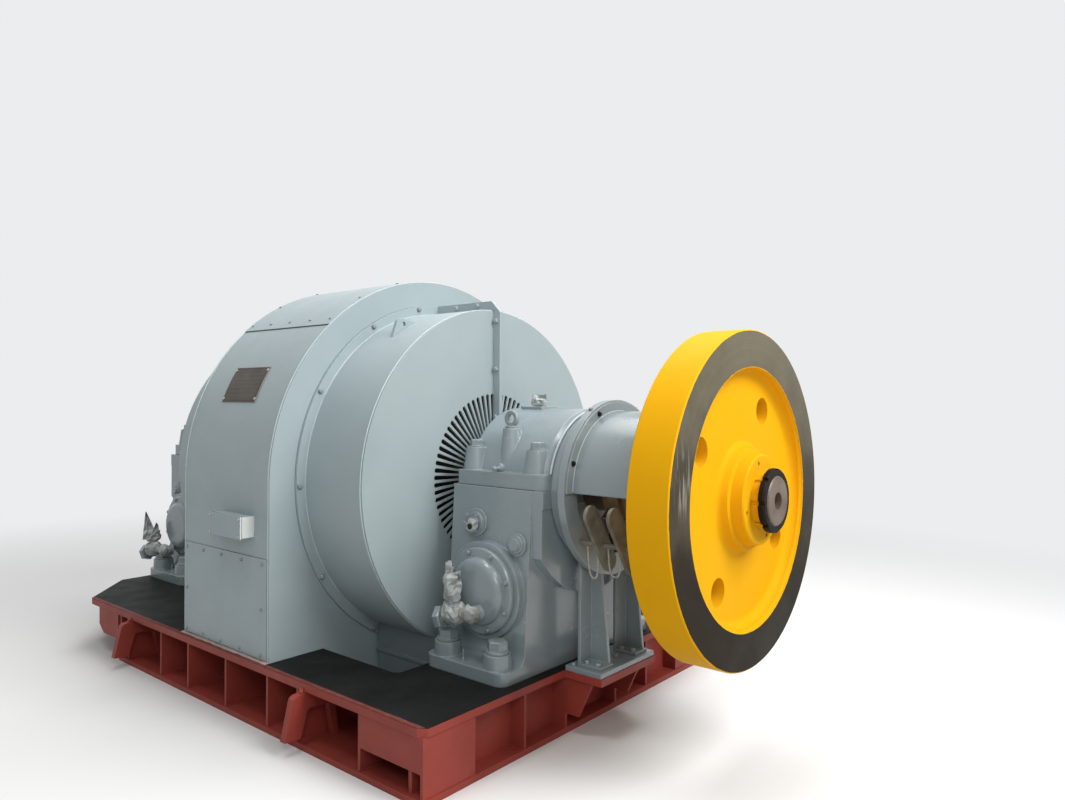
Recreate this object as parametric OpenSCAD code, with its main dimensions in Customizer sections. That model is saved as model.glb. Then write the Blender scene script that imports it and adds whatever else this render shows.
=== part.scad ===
// Horizontal hydroelectric generator on a fabricated base frame.
// X runs along the shaft towards the flywheel, Y across it, Z up from the floor.
// The origin is on the floor, under the shaft and the middle of the housing.

/* [Shaft line] */
// Height of the shaft axis over the floor
shaft_z = 1205; // [1180:5:1260]
// Radius of the shaft inside the housing
shaft_body_r = 150; // [140:5:160]
// Radius of the shaft in its two bearings
journal_r = 125; // [115:1:130]
// Radius of the shaft under the flywheel
wheel_seat_r = 118; // [112:1:120]
// Radius of the threaded shaft end and of the driven end
shaft_end_r = 110; // [100:1:111]
// Length of the driven shaft end past the rear bearing
driven_end_length = 300; // [200:10:400]
// Radial gap of the shaft in its bearings
bearing_gap = 0.05; // [0.02:0.01:0.1]

/* [Base frame] */
// Height of the base frame with its deck sheet
base_h = 320; // [300:5:330]
// How far the deck reaches past the housing on each side
deck_margin = 37; // [30:1:60]
// Front edge of the base frame, from the origin
base_front = 1594; // [1580:2:1620]
// Rear edge of the base frame, behind the origin
base_rear = 1985; // [1980:1:2040]
// Length of the cut on each rear corner
corner_cut_x = 382; // [300:2:400]
// Width of the cut on each rear corner
corner_cut_y = 350; // [300:2:370]
// Thickness of the top plates
plate_t = 36; // [24:1:40]
// Thickness of the dark deck sheet
sheet_t = 4; // [3:1:6]
// Thickness of the bottom flanges
foot_t = 28; // [20:1:32]
// Width of the end beams' bottom flanges
foot_w = 200; // [160:5:220]
// Thickness of the webs
web_t = 20; // [14:1:24]
// Thickness of the stiffener ribs
rib_t = 16; // [10:1:20]
// Half length of the pit under the housing
pit_half_l = 1020; // [1010:1:1022]
// Width of the deck beside the pit
side_plate_w = 357; // [335:1:375]
// How far the brush stand's shelf reaches out of the front edge
shelf_reach = 220; // [200:5:240]
// Half width of the brush stand's shelf
shelf_half_w = 240; // [230:2:260]

/* [Housing] */
// Radius of the arched roof, also half the housing's width
housing_r = 1135; // [1120:1:1145]
// Length of the housing along the shaft
housing_l = 860; // [840:2:880]
// Thickness of the housing's end plates
end_plate_t = 12; // [8:1:16]
// Thickness of the bolted side and roof panels
panel_t = 5; // [3:1:8]
// Height of the side panels
side_panel_h = 505; // [480:5:540]
// Half angle of the roof panel
roof_half_angle = 43; // [38:1:46]
// Length of the terminal box
terminal_l = 297; // [280:1:330]
// Height of the terminal box
terminal_h = 107; // [100:1:130]
// Depth of the terminal box
terminal_d = 82; // [60:1:90]

/* [Air drums] */
// Radius of the round air covers in front of and behind the housing
drum_r = 940; // [925:1:945]
// Length of each air cover, from the housing to its outer face
drum_l = 472; // [460:1:480]
// Thickness of the slotted face
face_t = 12; // [8:1:16]
// Radius of the bolting ring
ring_r = 991; // [980:1:1000]
// Thickness of the bolting ring
ring_t = 18; // [14:1:24]
// Number of slots in each face
slot_count = 72; // [60:2:72]
// Outer radius of the slots
slot_r_out = 466; // [455:1:475]
// Inner radius of the slots
slot_r_in = 240; // [236:1:330]
// Width of a slot at its outer end, from where it tapers towards the shaft
slot_w = 24; // [18:1:26]
// How far the joint flange stands out of the drum
joint_proud = 48; // [36:2:56]
// Thickness of the joint flange
joint_t = 24; // [16:1:30]
// Half width of the air box under each drum
duct_half_w = 460; // [440:5:480]

/* [Bearings] */
// Middle of the front bearing, from the origin
front_bearing_x = 1282; // [1281:1:1290]
// Middle of the rear bearing, behind the origin
rear_bearing_x = 1722; // [1700:1:1725]
// Length of a pedestal's foot along the shaft
foot_l = 520; // [500:2:522]
// Half width of a pedestal's foot
foot_half_w = 640; // [600:5:660]
// Thickness of a pedestal's foot
pedestal_foot_t = 62; // [50:1:70]
// Half width of the pedestal's body just over its foot
body_low_w = 480; // [460:2:500]
// Half width of the pedestal's body at the shaft
body_top_w = 436; // [430:1:450]
// Radius of the nose that stands out of the pedestal
nose_r = 540; // [520:2:550]
// Length of the nose
nose_l = 68; // [56:1:76]
// Thickness of the cap's flange
cap_flange_t = 75; // [60:1:85]
// Radius of the cap's arch
cap_r = 388; // [370:1:395]
// Radius of the round side covers
cover_r = 210; // [195:1:214]
// Height of the side covers' middle over the floor
cover_z = 707; // [695:1:715]
// Half distance between the foot bolts along the shaft
foot_bolt_x = 165; // [155:1:180]
// Half distance between the foot bolts across the shaft
foot_bolt_y = 568; // [550:1:570]

/* [Brush gear] */
// Outer radius of the end ring
brush_ring_r = 435; // [425:1:440]
// Front face of the end ring, from the origin
brush_ring_x = 1733; // [1720:1:1740]
// Thickness of the end ring
brush_ring_t = 38; // [24:1:50]
// Radius of the half-round cover
brush_cover_r = 380; // [370:1:390]
// Length of the half-round cover
brush_cover_l = 500; // [460:5:505]
// Thickness of the cover's sheet
brush_sheet_t = 5; // [3:1:8]
// Half distance over the outer edges of the stand's two posts
post_y = 208; // [190:2:215]

/* [Rotor] */
// Radius of the flywheel
wheel_r = 750; // [700:5:760]
// Front face of the flywheel's rim, from the origin
wheel_x = 2458; // [2450:1:2470]
// Width of the flywheel's rim
wheel_w = 188; // [180:1:196]
// Inner radius of the rim
rim_in_r = 583; // [570:1:590]
// Depth of the web under the rim's front face
web_depth = 60; // [50:1:66]
// Radius of the hub's front face
hub_r = 200; // [190:1:210]
// How far the hub stands in front of the rim
hub_proud = 42; // [30:1:48]
// Pitch circle radius of the holes in the web
web_hole_pitch_r = 445; // [430:1:455]
// Radius of the holes in the web
web_hole_r = 63; // [50:1:66]
// Number of holes in the web
web_hole_count = 4; // [4:1:6]
// Radius of the slotted collar
collar_r = 125; // [120:1:130]
// Radius of the lock nut
nut_r = 141; // [134:1:146]
// Radius of the slip rings
slip_ring_r = 190; // [180:1:200]

/* [Hidden] */
$fn = 96;

base_hw = housing_r + deck_margin;
pit_half_w = base_hw - side_plate_w;
plate_top = base_h - sheet_t;
plate_low = plate_top - plate_t;
web_h = plate_low - foot_t;
girder_foot_y = pit_half_w + 70;
housing_hl = housing_l / 2;
casing_hl = housing_hl - end_plate_t;
drum_end = housing_hl + drum_l;
drum_start = housing_hl + ring_t;
shaft_hole_r = shaft_body_r + 20;
nose_end = foot_l / 2 + nose_l;
pedestal_top = base_h + pedestal_foot_t;
cover_face_y = body_low_w + 20;
wheel_back = wheel_x - wheel_w;
hub_front = wheel_x + hub_proud;
hub_back = wheel_back - 20;
collar_l = 38;
nut_l = 28;
shaft_tip = hub_front + collar_l + nut_l + 4;
front_nose_x = front_bearing_x + nose_end;
rear_nose_x = -rear_bearing_x - nose_end;
stand_top = plate_top + 25;

// Points of an arc round a centre
function arc(centre, r, from, to, steps = 10) =
    [for (i = [0:steps]) let (a = from + (to - from) * i / steps)
        centre + r * [cos(a), sin(a)]];

// An outline and its mirror image as one closed list of points
function with_mirror(points) = concat(points,
    [for (i = [len(points) - 1:-1:0]) [-points[i][0], points[i][1]]]);

// Draws a Y-Z outline from one X to another
module along_x(from, to)
    translate([from, 0, 0]) rotate([90, 0, 90]) linear_extrude(to - from) children();

// Draws an X-Z outline from one Y to another
module across_y(from, to)
    translate([0, to, 0]) rotate([90, 0, 0]) linear_extrude(to - from) children();

// A round bar on the shaft axis
module round_x(r, from, to)
    translate([from, 0, shaft_z]) rotate([0, 90, 0]) cylinder(r = r, h = to - from);

// A round bar across the shaft, that starts at one Y
module round_y(x, y, z, r, length)
    translate([x, y, z]) rotate([-90, 0, 0]) cylinder(r = r, h = length);

// A ring on the shaft axis
module ring_x(r_out, r_in, from, to)
    difference() {
        round_x(r_out, from, to);
        round_x(r_in, from - 1, to + 1);
    }

// A thin sheet round the housing's arch, with its true radius kept by many facets
module arch_sheet(r_out, r_in, half_length)
    translate([-half_length, 0, shaft_z]) rotate([0, 90, 0]) difference() {
        cylinder(r = r_out, h = 2 * half_length, $fn = 360);
        translate([0, 0, -1]) cylinder(r = r_in, h = 2 * half_length + 2, $fn = 360);
    }

// A solid of revolution on the shaft axis, from points of distance along it and radius
module turned_x(points)
    translate([0, 0, shaft_z]) rotate([0, 90, 0])
        rotate_extrude() polygon([for (p = points) [p[1], p[0]]]);

// The same piece on both sides of the shaft
module both_sides() {
    children();
    mirror([0, 1, 0]) children();
}

// A vertical rib plate in the Y-Z plane
module rib(x, y_from, y_to, z_from, z_to)
    translate([x - rib_t / 2, y_from, z_from]) cube([rib_t, y_to - y_from, z_to - z_from]);

// Places of the ribs on the long sides, measured on the base
side_beam_rear = -1190;
side_ribs = [side_beam_rear + rib_t / 2, -1080, -651, -330, 71, 463, 720, 1182];
last_rib = side_ribs[len(side_ribs) - 1];
// Front faces of the two jacking lugs on each side
lug_faces = [-1010, 790];
lug_t = 40;
gusset_y = shelf_half_w - 22;
end_ribs = [gusset_y, 530, 870];
corner_plate_h = 160;

// Deep ribs that make each long side, with the plates that close its two ends
module base_side_beams() color("firebrick") both_sides() {
    for (x = side_ribs)
        rib(x, -base_hw + 8, -pit_half_w - web_t, foot_t, plate_low);
    front_corner_plate();
    rear_corner_plate();
}

// Closes the upper half of the last bay at the front corner
module front_corner_plate()
    translate([last_rib + rib_t / 2, -base_hw + 8, plate_low - 150])
        cube([base_front - 6 - rib_t - last_rib - rib_t / 2, rib_t, 150]);

// Skirt under the deck's overhanging rear corner, on two brackets from the pit girder
module rear_corner_plate() {
    across_y(-base_hw + 8, -base_hw + 8 + rib_t) polygon([
        [-1506, plate_low], [-1506, plate_low - 111], [-1440, plate_low - corner_plate_h],
        [-1224, plate_low - corner_plate_h], [-1224, plate_low]]);
    for (x = [-1490, -1232])
        along_x(x - rib_t / 2, x + rib_t / 2) polygon([
            [-base_hw + 8 + rib_t, plate_low], [-base_hw + 8 + rib_t, plate_low - 110],
            [-pit_half_w - web_t, plate_low - 200], [-pit_half_w - web_t, plate_low]]);
}

module base_end_beams() color("firebrick") {
    front_end_beam();
    rear_end_beam();
}

module front_end_beam() {
    web_x = base_front - foot_w / 2;
    web_half = base_hw - 8 - rib_t;
    translate([base_front - foot_w, -girder_foot_y, 0]) cube([foot_w, 2 * girder_foot_y, foot_t]);
    translate([web_x - web_t / 2, -web_half, foot_t]) cube([web_t, 2 * web_half, web_h]);
    both_sides() {
        for (y = end_ribs)
            translate([web_x + web_t / 2, y - rib_t / 2, foot_t])
                cube([foot_w / 2 - web_t / 2 - 6, rib_t, web_h]);
        translate([base_front - 6 - rib_t, -base_hw + 8, foot_t])
            cube([rib_t, base_hw - 8 - end_ribs[2] - rib_t / 2, web_h]);
    }
}

module rear_end_beam() {
    half = base_hw - corner_cut_y;
    web_x = -base_rear + foot_w / 2;
    translate([-base_rear + 10, -half, 0]) cube([foot_w, 2 * half, foot_t]);
    translate([web_x, -half, foot_t]) cube([web_t, 2 * half, web_h]);
    both_sides() for (y = [190, 530])
        translate([-base_rear + 14, y - rib_t / 2, foot_t]) cube([web_x + base_rear - 14, rib_t, web_h]);
}

// Web beside the pit on a bottom flange that reaches out under the side ribs
module base_pit_girders() color("firebrick") both_sides() {
    rear = -base_rear + foot_w / 2 + web_t;
    front = base_front - foot_w / 2 - web_t / 2;
    translate([rear, pit_half_w, foot_t]) cube([front - rear, web_t, web_h]);
    translate([-base_rear + 10 + foot_w, pit_half_w - 50, 0])
        cube([base_front - foot_w + base_rear - 10 - foot_w, girder_foot_y - pit_half_w + 50, foot_t]);
    translate([side_beam_rear, girder_foot_y, 0])
        cube([base_front - side_beam_rear, base_hw - girder_foot_y, foot_t]);
}

module base_cross_members() color("firebrick") {
    for (side = [-1, 1])
        translate([side * (pit_half_l + web_t / 2) - web_t / 2, -pit_half_w, foot_t])
            cube([web_t, 2 * pit_half_w, web_h]);
    bed_tie();
}

// Tie under the stator bed, whose underside rests on the floor
module bed_tie() {
    half = pit_half_w - 50;
    translate([-220, -half, 0]) cube([440, 2 * half, foot_t]);
    for (x = [-200, 0, 200])
        translate([x - web_t / 2, -pit_half_w, foot_t]) cube([web_t, 2 * pit_half_w, 92]);
}

// Thick arched lugs that stand on the bottom flange and reach past the deck's edge
module base_jacking_lugs() color("firebrick") both_sides()
    for (x = lug_faces)
        along_x(x - lug_t, x) translate([-base_hw, 0]) lug_outline();

// Outline of a lug: a slanting outer leg, a bar under the deck and a thin inner leg
module lug_outline() polygon([
    [-103, foot_t + 43], [-60, plate_low - 26], [-44, plate_low - 14], [-2, plate_low - 8], [0, plate_low],
    [158, plate_low], [193, foot_t], [165, foot_t],
    [133, plate_low - 90], [26, plate_low - 84], [18, plate_low - 92], [-18, foot_t + 38]]);

module front_outline() polygon([
    [pit_half_l, -base_hw], [base_front - 34, -base_hw], [base_front, -base_hw + 30],
    [base_front, base_hw - 30], [base_front - 34, base_hw], [pit_half_l, base_hw]]);

module rear_outline() polygon([
    [-pit_half_l, -base_hw], [-base_rear + corner_cut_x, -base_hw],
    [-base_rear, -base_hw + corner_cut_y], [-base_rear, base_hw - corner_cut_y],
    [-base_rear + corner_cut_x, base_hw], [-pit_half_l, base_hw]]);

module base_end_plates() color("firebrick") translate([0, 0, plate_low]) linear_extrude(plate_t) {
    front_outline();
    rear_outline();
}

module base_side_plates() color("firebrick") both_sides()
    translate([-pit_half_l, pit_half_w, plate_low])
        cube([2 * pit_half_l, base_hw - pit_half_w, plate_t]);

module deck_sheet() color("#2a2d2b") translate([0, 0, plate_top]) linear_extrude(sheet_t)
    difference() {
        union() {
            front_outline();
            rear_outline();
            square([2 * pit_half_l, 2 * base_hw], center = true);
        }
        pit_outline();
    }

// Pit outline with the rounded corners that the sheet has
module pit_outline() {
    r = 40;
    square([2 * pit_half_l, 2 * (pit_half_w - r)], center = true);
    square([2 * (pit_half_l - r), 2 * pit_half_w], center = true);
    for (x = [-1, 1], y = [-1, 1])
        translate([x * (pit_half_l - r), y * (pit_half_w - r)]) circle(r);
}

module brush_shelf() color("firebrick") {
    translate([base_front, -shelf_half_w, plate_low]) cube([shelf_reach, 2 * shelf_half_w, plate_t]);
    both_sides() shelf_gusset();
}

module shelf_gusset()
    across_y(gusset_y - rib_t / 2, gusset_y + rib_t / 2) polygon([
        [base_front - 6, plate_low], [base_front + shelf_reach - 62, plate_low],
        [base_front + 74, plate_low - 180], [base_front - 6, plate_low - 180]]);

// Fabricated bed that carries the stator in the pit
module stator_bed() color("#8f9da1") {
    translate([-casing_hl, -pit_half_w + 8, foot_t + 92])
        cube([2 * casing_hl, 2 * pit_half_w - 16, base_h - foot_t - 92]);
}

// Arched outline of the housing: a half circle on straight sides
module housing_outline(r) {
    intersection() {
        translate([0, shaft_z]) circle(r, $fn = 180);
        translate([-r, shaft_z]) square([2 * r, r]);
    }
    translate([-r, base_h]) square([2 * r, shaft_z - base_h]);
}

module housing_casing() color("#a3b0b4") difference() {
    along_x(-casing_hl, casing_hl) housing_outline(housing_r);
    round_x(shaft_hole_r, -casing_hl - 1, casing_hl + 1);
}

module housing_end_plate() color("#a3b0b4") difference() {
    along_x(casing_hl, housing_hl) union() {
        housing_outline(housing_r);
        translate([-pit_half_w + 8, foot_t + 92]) square([2 * pit_half_w - 16, base_h - foot_t - 92]);
    }
    round_x(shaft_hole_r, casing_hl - 1, housing_hl + 1);
}

module housing_front_plate() housing_end_plate();
module housing_rear_plate() mirror([1, 0, 0]) housing_end_plate();

module side_panels() color("#a3b0b4") both_sides()
    translate([-casing_hl + 6, housing_r, base_h + 8])
        cube([2 * casing_hl - 12, panel_t, side_panel_h]);

module roof_panel() color("#a3b0b4") intersection() {
    arch_sheet(housing_r + panel_t, housing_r + seat_gap, casing_hl - 6);
    roof_wedge(-roof_half_angle, roof_half_angle, casing_hl);
}

// Wedge about the shaft axis between two angles from the top, positive towards the far side
module roof_wedge(from, to, half_length)
    translate([0, 0, shaft_z]) along_x(-half_length, half_length) polygon([
        [0, 0], 1.6 * housing_r * [sin(from), cos(from)],
        1.6 * housing_r * [sin((from + to) / 2), cos((from + to) / 2)],
        1.6 * housing_r * [sin(to), cos(to)]]);

plate_half_l = 168;
seat_gap = 0.3;
plate_from = -68.7;
plate_to = -58;
module nameplate() color("#4a3f30") intersection() {
    arch_sheet(housing_r + 4, housing_r + seat_gap, plate_half_l);
    roof_wedge(plate_from, plate_to, plate_half_l);
}

terminal_x = -3;
terminal_z = 934;
module terminal_box() color("#a3b0b4") {
    translate([terminal_x, -housing_r - terminal_d + 8, terminal_z])
        cube([terminal_l, terminal_d - 8, terminal_h]);
    translate([terminal_x - 4, -housing_r - terminal_d, terminal_z - 4])
        cube([terminal_l + 8, 8, terminal_h + 8]);
}

module drum_rings() color("#a3b0b4") {
    ring_x(ring_r, drum_r, housing_hl, drum_start);
    ring_x(ring_r, drum_r, -drum_start, -housing_hl);
}

recess_depth = 150;
// Closed air cover with the air space that shows through the slots of its face
module drum() color("#a3b0b4") difference() {
    round_x(drum_r, housing_hl, drum_end - face_t);
    round_x(shaft_hole_r, housing_hl - 1, drum_end);
    ring_x(slot_r_out + 16, shaft_hole_r - 1, drum_end - face_t - recess_depth, drum_end);
}

module front_drum() drum();
module rear_drum() mirror([1, 0, 0]) drum();

module vent_face() color("#a3b0b4") {
    pitch = 360 / slot_count;
    difference() {
        round_x(drum_r - 4, drum_end - face_t, drum_end);
        round_x(shaft_hole_r, drum_end - face_t - 1, drum_end + 1);
        for (i = [0:slot_count - 1])
            translate([0, 0, shaft_z]) rotate([(i + 0.5) * pitch, 0, 0]) vent_slot();
    }
}

// One radial slot through the face, tapered towards the shaft and with round ends
module vent_slot() along_x(drum_end - face_t - 1, drum_end + 1) {
    r_low = slot_w / 2 * slot_r_in / slot_r_out;
    r_top = slot_w / 2;
    polygon([[-r_low, slot_r_in + r_low], [r_low, slot_r_in + r_low],
        [r_top, slot_r_out - r_top], [-r_top, slot_r_out - r_top]]);
    translate([0, slot_r_in + r_low]) circle(r_low, $fn = 16);
    translate([0, slot_r_out - r_top]) circle(r_top, $fn = 24);
}

module front_vent_face() vent_face();
module rear_vent_face() mirror([1, 0, 0]) vent_face();

// Bolted flange where the two halves of a drum meet, on its top and down its face
module joint_flange() difference() {
    top = drum_r + joint_proud + 6;
    end = drum_end + joint_proud;
    translate([0, 0, shaft_z]) across_y(-joint_t / 2, joint_t / 2) polygon([
        [drum_start, drum_r - 6], [drum_start, top], [end - 65, top], [end, top - 65],
        [end, 300], [drum_end, 300], [drum_end, drum_r - 6]]);
    round_x(drum_r, drum_start - 1, drum_end);
}

module drum_joint_flanges() color("#9aa8ac") {
    joint_flange();
    mirror([1, 0, 0]) joint_flange();
}

lifting_plate_x = 650;
lifting_plate_t = 20;
lifting_angle = 30;
lifting_hole_r = 13;
lifting_hole_at = [16, 962];
lifting_tip = 62;
// Three-cornered plate with a hole, standing on the drum
module lifting_plate() translate([0, 0, shaft_z]) rotate([lifting_angle, 0, 0]) difference() {
    along_x(lifting_plate_x - lifting_plate_t / 2, lifting_plate_x + lifting_plate_t / 2) difference() {
        polygon([[-100, drum_r - 12], [-16, drum_r + lifting_tip - 4], [0, drum_r + lifting_tip],
            [16, drum_r + lifting_tip - 4], [100, drum_r - 12]]);
        circle(drum_r, $fn = 180);
    }
    translate([lifting_plate_x - lifting_plate_t, lifting_hole_at[0], lifting_hole_at[1]]) rotate([0, 90, 0])
        cylinder(r = lifting_hole_r, h = 2 * lifting_plate_t);
}

module drum_lifting_plates() color("#9aa8ac") both_sides() {
    lifting_plate();
    mirror([1, 0, 0]) lifting_plate();
}

// Air box under the drum, down in the pit
module air_box() difference() {
    union() {
        translate([drum_start, -duct_half_w, foot_t + 92])
            cube([drum_l - ring_t, 2 * duct_half_w, 300]);
        translate([drum_start, -duct_half_w - 12, foot_t + 205])
            cube([drum_l - ring_t, 2 * duct_half_w + 24, 16]);
    }
    round_x(drum_r, drum_start - 1, drum_end + 1);
}

module air_boxes() color("#8f9da1") {
    air_box();
    mirror([1, 0, 0]) air_box();
}

boss_r = 66;
boss_h = 68;
pedestal_corner_r = 55;
lower_flange_t = 84;
nose_step = 6;

// Foot, body, nose and bosses of one bearing pedestal, centred on its own foot
module pedestal() color("#8c989d") difference() {
    union() {
        pedestal_foot();
        along_x(-foot_l / 2, foot_l / 2) pedestal_section();
        along_x(foot_l / 2, nose_end - nose_step) intersection() {
            translate([0, shaft_z]) circle(nose_r, $fn = 120);
            translate([-body_top_w, shaft_z - nose_r]) square([2 * body_top_w, nose_r]);
        }
        translate([foot_l / 2, -body_top_w, shaft_z - lower_flange_t])
            cube([nose_l, 2 * body_top_w, lower_flange_t]);
        for (x = [-1, 1], y = [-1, 1])
            translate([x * foot_bolt_x, y * foot_bolt_y, pedestal_top])
                cylinder(r1 = boss_r + 4, r2 = boss_r, h = boss_h);
        round_y(0, -cover_face_y, cover_z, cover_r + 27, 2 * cover_face_y);
    }
    round_x(journal_r + bearing_gap, -foot_l, foot_l);
}

module pedestal_foot() {
    r = pedestal_corner_r;
    translate([0, 0, base_h]) linear_extrude(pedestal_foot_t) {
        square([foot_l, 2 * (foot_half_w - r)], center = true);
        square([foot_l - 2 * r, 2 * foot_half_w], center = true);
        for (x = [-1, 1], y = [-1, 1])
            translate([x * (foot_l / 2 - r), y * (foot_half_w - r)]) circle(r);
    }
}

// Y-Z outline of the pedestal's body, flared into its foot
module pedestal_section() {
    flare = 60;
    polygon(with_mirror(concat(
        [[-body_low_w - flare, pedestal_top - 10]],
        arc([-body_low_w - flare, pedestal_top + flare], flare, -90, 0, 8),
        [[-body_top_w, shaft_z]])));
}

cap_l_rear = 22;
cap_corner_r = 60;
cap_bolt_x = 204;
cap_bolt_y = 350;
cap_boss_h = 116;
cap_mid = (nose_l - cap_l_rear) / 2;
eye_y = 310;
eye_boss_z = shaft_z + 290;

// Split cap of one bearing, in the same place as its pedestal
module bearing_cap() color("#8c989d") difference() {
    union() {
        translate([0, 0, shaft_z]) linear_extrude(cap_flange_t) cap_outline();
        intersection() {
            turned_x([[-foot_l / 2 + 34, 0], [-foot_l / 2 + 34, cap_r - 30], [-foot_l / 2 + 64, cap_r],
                [nose_end - 36, cap_r], [nose_end - 6, cap_r - 30], [nose_end - 6, 0]]);
            translate([-foot_l, -cap_r - 1, shaft_z]) cube([2 * foot_l, 2 * cap_r + 2, cap_r + 1]);
        }
        for (x = [-1, 1], y = [-1, 1])
            translate([cap_mid + x * cap_bolt_x, y * cap_bolt_y, shaft_z + cap_flange_t])
                cylinder(r1 = 70, r2 = 54, h = cap_boss_h);
        both_sides() translate([cap_mid, -eye_y, shaft_z + 60])
            cylinder(r1 = 66, r2 = 44, h = eye_boss_z - shaft_z - 60);
    }
    round_x(journal_r + bearing_gap, -foot_l, foot_l);
}

// Plan of the cap's flange, rounded at the nose end
module cap_outline() {
    x0 = -foot_l / 2 + cap_l_rear;
    x1 = nose_end;
    r = cap_corner_r;
    w = body_top_w - 10;
    translate([x0, -w]) square([x1 - x0 - r, 2 * w]);
    translate([x0, -w + r]) square([x1 - x0, 2 * (w - r)]);
    for (y = [-1, 1]) translate([x1 - r, y * (w - r)]) circle(r);
}

module at_front() translate([front_bearing_x, 0, 0]) children();
module at_rear() translate([-rear_bearing_x, 0, 0]) mirror([1, 0, 0]) children();

module front_pedestal() at_front() pedestal();
module rear_pedestal() at_rear() pedestal();
module front_bearing_cap() at_front() bearing_cap();
module rear_bearing_cap() at_rear() bearing_cap();

dome_r = 166;
dome_h = 64;
dome_round = 36;
// Domed round cover with its flange, turned about the Y axis
module side_cover()
    translate([0, -cover_face_y, cover_z]) rotate([90, 0, 0]) rotate_extrude() polygon(concat(
        [[0, 0], [cover_r, 0], [cover_r, 20], [cover_r - 6, 26], [dome_r, 26]],
        arc([dome_r - dome_round, dome_h - dome_round], dome_round, 0, 90, 8), [[0, dome_h]]));

module side_covers() color("#8c989d") both_sides() side_cover();
module front_side_covers() at_front() side_covers();
module rear_side_covers() at_rear() side_covers();

sight_at = [-84, 1025];
plug_at = [186, 944];
// Half width of the pedestal's body at a height
function body_y(z) = body_low_w + (body_top_w - body_low_w)
    * (z - pedestal_top - 60) / (shaft_z - pedestal_top - 60);

// Oil sight glass and screw plug on both sides of the pedestal
module oil_gauges() color("#7f8b90") both_sides() {
    gauge_disc(sight_at, 70, 12);
    gauge_disc(sight_at, 50, 24);
    gauge_disc(sight_at, 26, 40);
    gauge_disc(plug_at, 58, 12);
    gauge_disc(plug_at, 44, 22);
    gauge_disc(plug_at, 30, 34);
}

// Disc that stands on the pedestal's slanting side
module gauge_disc(at, r, proud) {
    tilt = atan((body_low_w - body_top_w) / (shaft_z - pedestal_top - 60));
    translate([at[0], -body_y(at[1]), at[1]]) rotate([90 - tilt, 0, 0]) cylinder(r = r, h = proud);
}

module front_oil_gauges() at_front() oil_gauges();
module rear_oil_gauges() at_rear() oil_gauges();

eye_r = 40;
eye_hole_r = 22;
eye_t = 22;
eye_z = eye_boss_z + 8 + eye_r;
// Screwed lifting eye on a cap
module lifting_eye() translate([cap_mid, -eye_y, 0]) {
    translate([0, 0, eye_boss_z]) cylinder(r = 32, h = 12);
    difference() {
        translate([0, eye_t / 2, eye_z]) rotate([90, 0, 0]) cylinder(r = eye_r, h = eye_t);
        translate([0, eye_t / 2 + 1, eye_z]) rotate([90, 0, 0]) cylinder(r = eye_hole_r, h = eye_t + 2);
    }
}

module bearing_lifting_eyes() color("#8c989d") {
    at_front() both_sides() lifting_eye();
    at_rear() both_sides() lifting_eye();
}

oil_stub_x = 42;
oil_pipe_x = -158;
oil_z = cover_z - 92;
// Oil pipe from the dome: a stub, a level arm, an elbow and a short riser
module oil_fitting() {
    face = -cover_face_y - dome_h;
    y = face - 52;
    round_y(oil_stub_x, face - 88, oil_z, 28, 88);
    translate([oil_pipe_x, y, oil_z]) rotate([0, 90, 0]) cylinder(r = 24, h = oil_stub_x - oil_pipe_x);
    translate([oil_pipe_x, y, oil_z]) sphere(36);
    translate([oil_pipe_x, y, oil_z]) cylinder(r = 28, h = 215);
}

module oil_fittings() color("#a8b1b2") {
    at_front() oil_fitting();
    at_rear() oil_fitting();
}

brush_ring_in = 330;
brush_neck_r = cap_r - 12;
brush_ring_back = brush_ring_x - brush_ring_t;
// Thick bolting ring on a neck that continues the bearing's barrel
module brush_end_ring() color("#8c989d") {
    ring_x(brush_ring_r, brush_ring_in, brush_ring_back, brush_ring_x);
    ring_x(brush_neck_r, brush_ring_in, front_nose_x, brush_ring_back + 1);
}

// Half-round sheet cover with its bolting flange
module brush_cover() color("#8c989d") intersection() {
    union() {
        ring_x(brush_ring_r - 8, brush_cover_r - brush_sheet_t, brush_ring_x, brush_ring_x + 10);
        ring_x(brush_cover_r, brush_cover_r - brush_sheet_t, brush_ring_x + 10, brush_ring_x + brush_cover_l);
    }
    translate([brush_ring_x - 1, -brush_ring_r, shaft_z])
        cube([brush_cover_l + 2, 2 * brush_ring_r, brush_ring_r]);
}

holder_xs = [brush_ring_x + 117, brush_ring_x + 242];
holder_t = 18;
holder_r = 48;
holder_top = [399, -91];
holder_low = [251, -316];
holder_mid = (holder_top + holder_low) / 2;
stud_at = [303, -237];
brush_gap = 6;
// Oval plates that carry the brushes, on studs from the end ring
module brush_holders() color("#6f6b52") both_sides() {
    for (x = holder_xs) {
        along_x(x, x + holder_t) translate([0, shaft_z]) oval(holder_top, holder_low, holder_r);
        brush_box(x);
    }
    translate([brush_ring_x, -stud_at[0], shaft_z + stud_at[1]]) rotate([0, 90, 0])
        cylinder(r = 13, h = holder_xs[1] + holder_t + 16 - brush_ring_x, $fn = 24);
}

// Radial box from a plate to just over its slip ring
module brush_box(x) {
    reach = norm(holder_mid);
    angle = atan2(holder_mid[1], -holder_mid[0]);
    translate([x - 42, 0, shaft_z]) rotate([angle, 0, 0])
        translate([0, slip_ring_r + brush_gap, -20]) cube([44, reach - slip_ring_r - brush_gap, 40]);
}

// Flat bar with round ends between two points beside the shaft
module oval(a, b, r) {
    along = atan2(b[1] - a[1], -(b[0] - a[0]));
    span = norm(b - a);
    translate([-a[0], a[1]]) rotate(along) {
        circle(r, $fn = 48);
        translate([0, -r]) square([span, 2 * r]);
        translate([span, 0]) circle(r, $fn = 48);
    }
}

post_x = 1650;
post_flange_w = 108;
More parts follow.
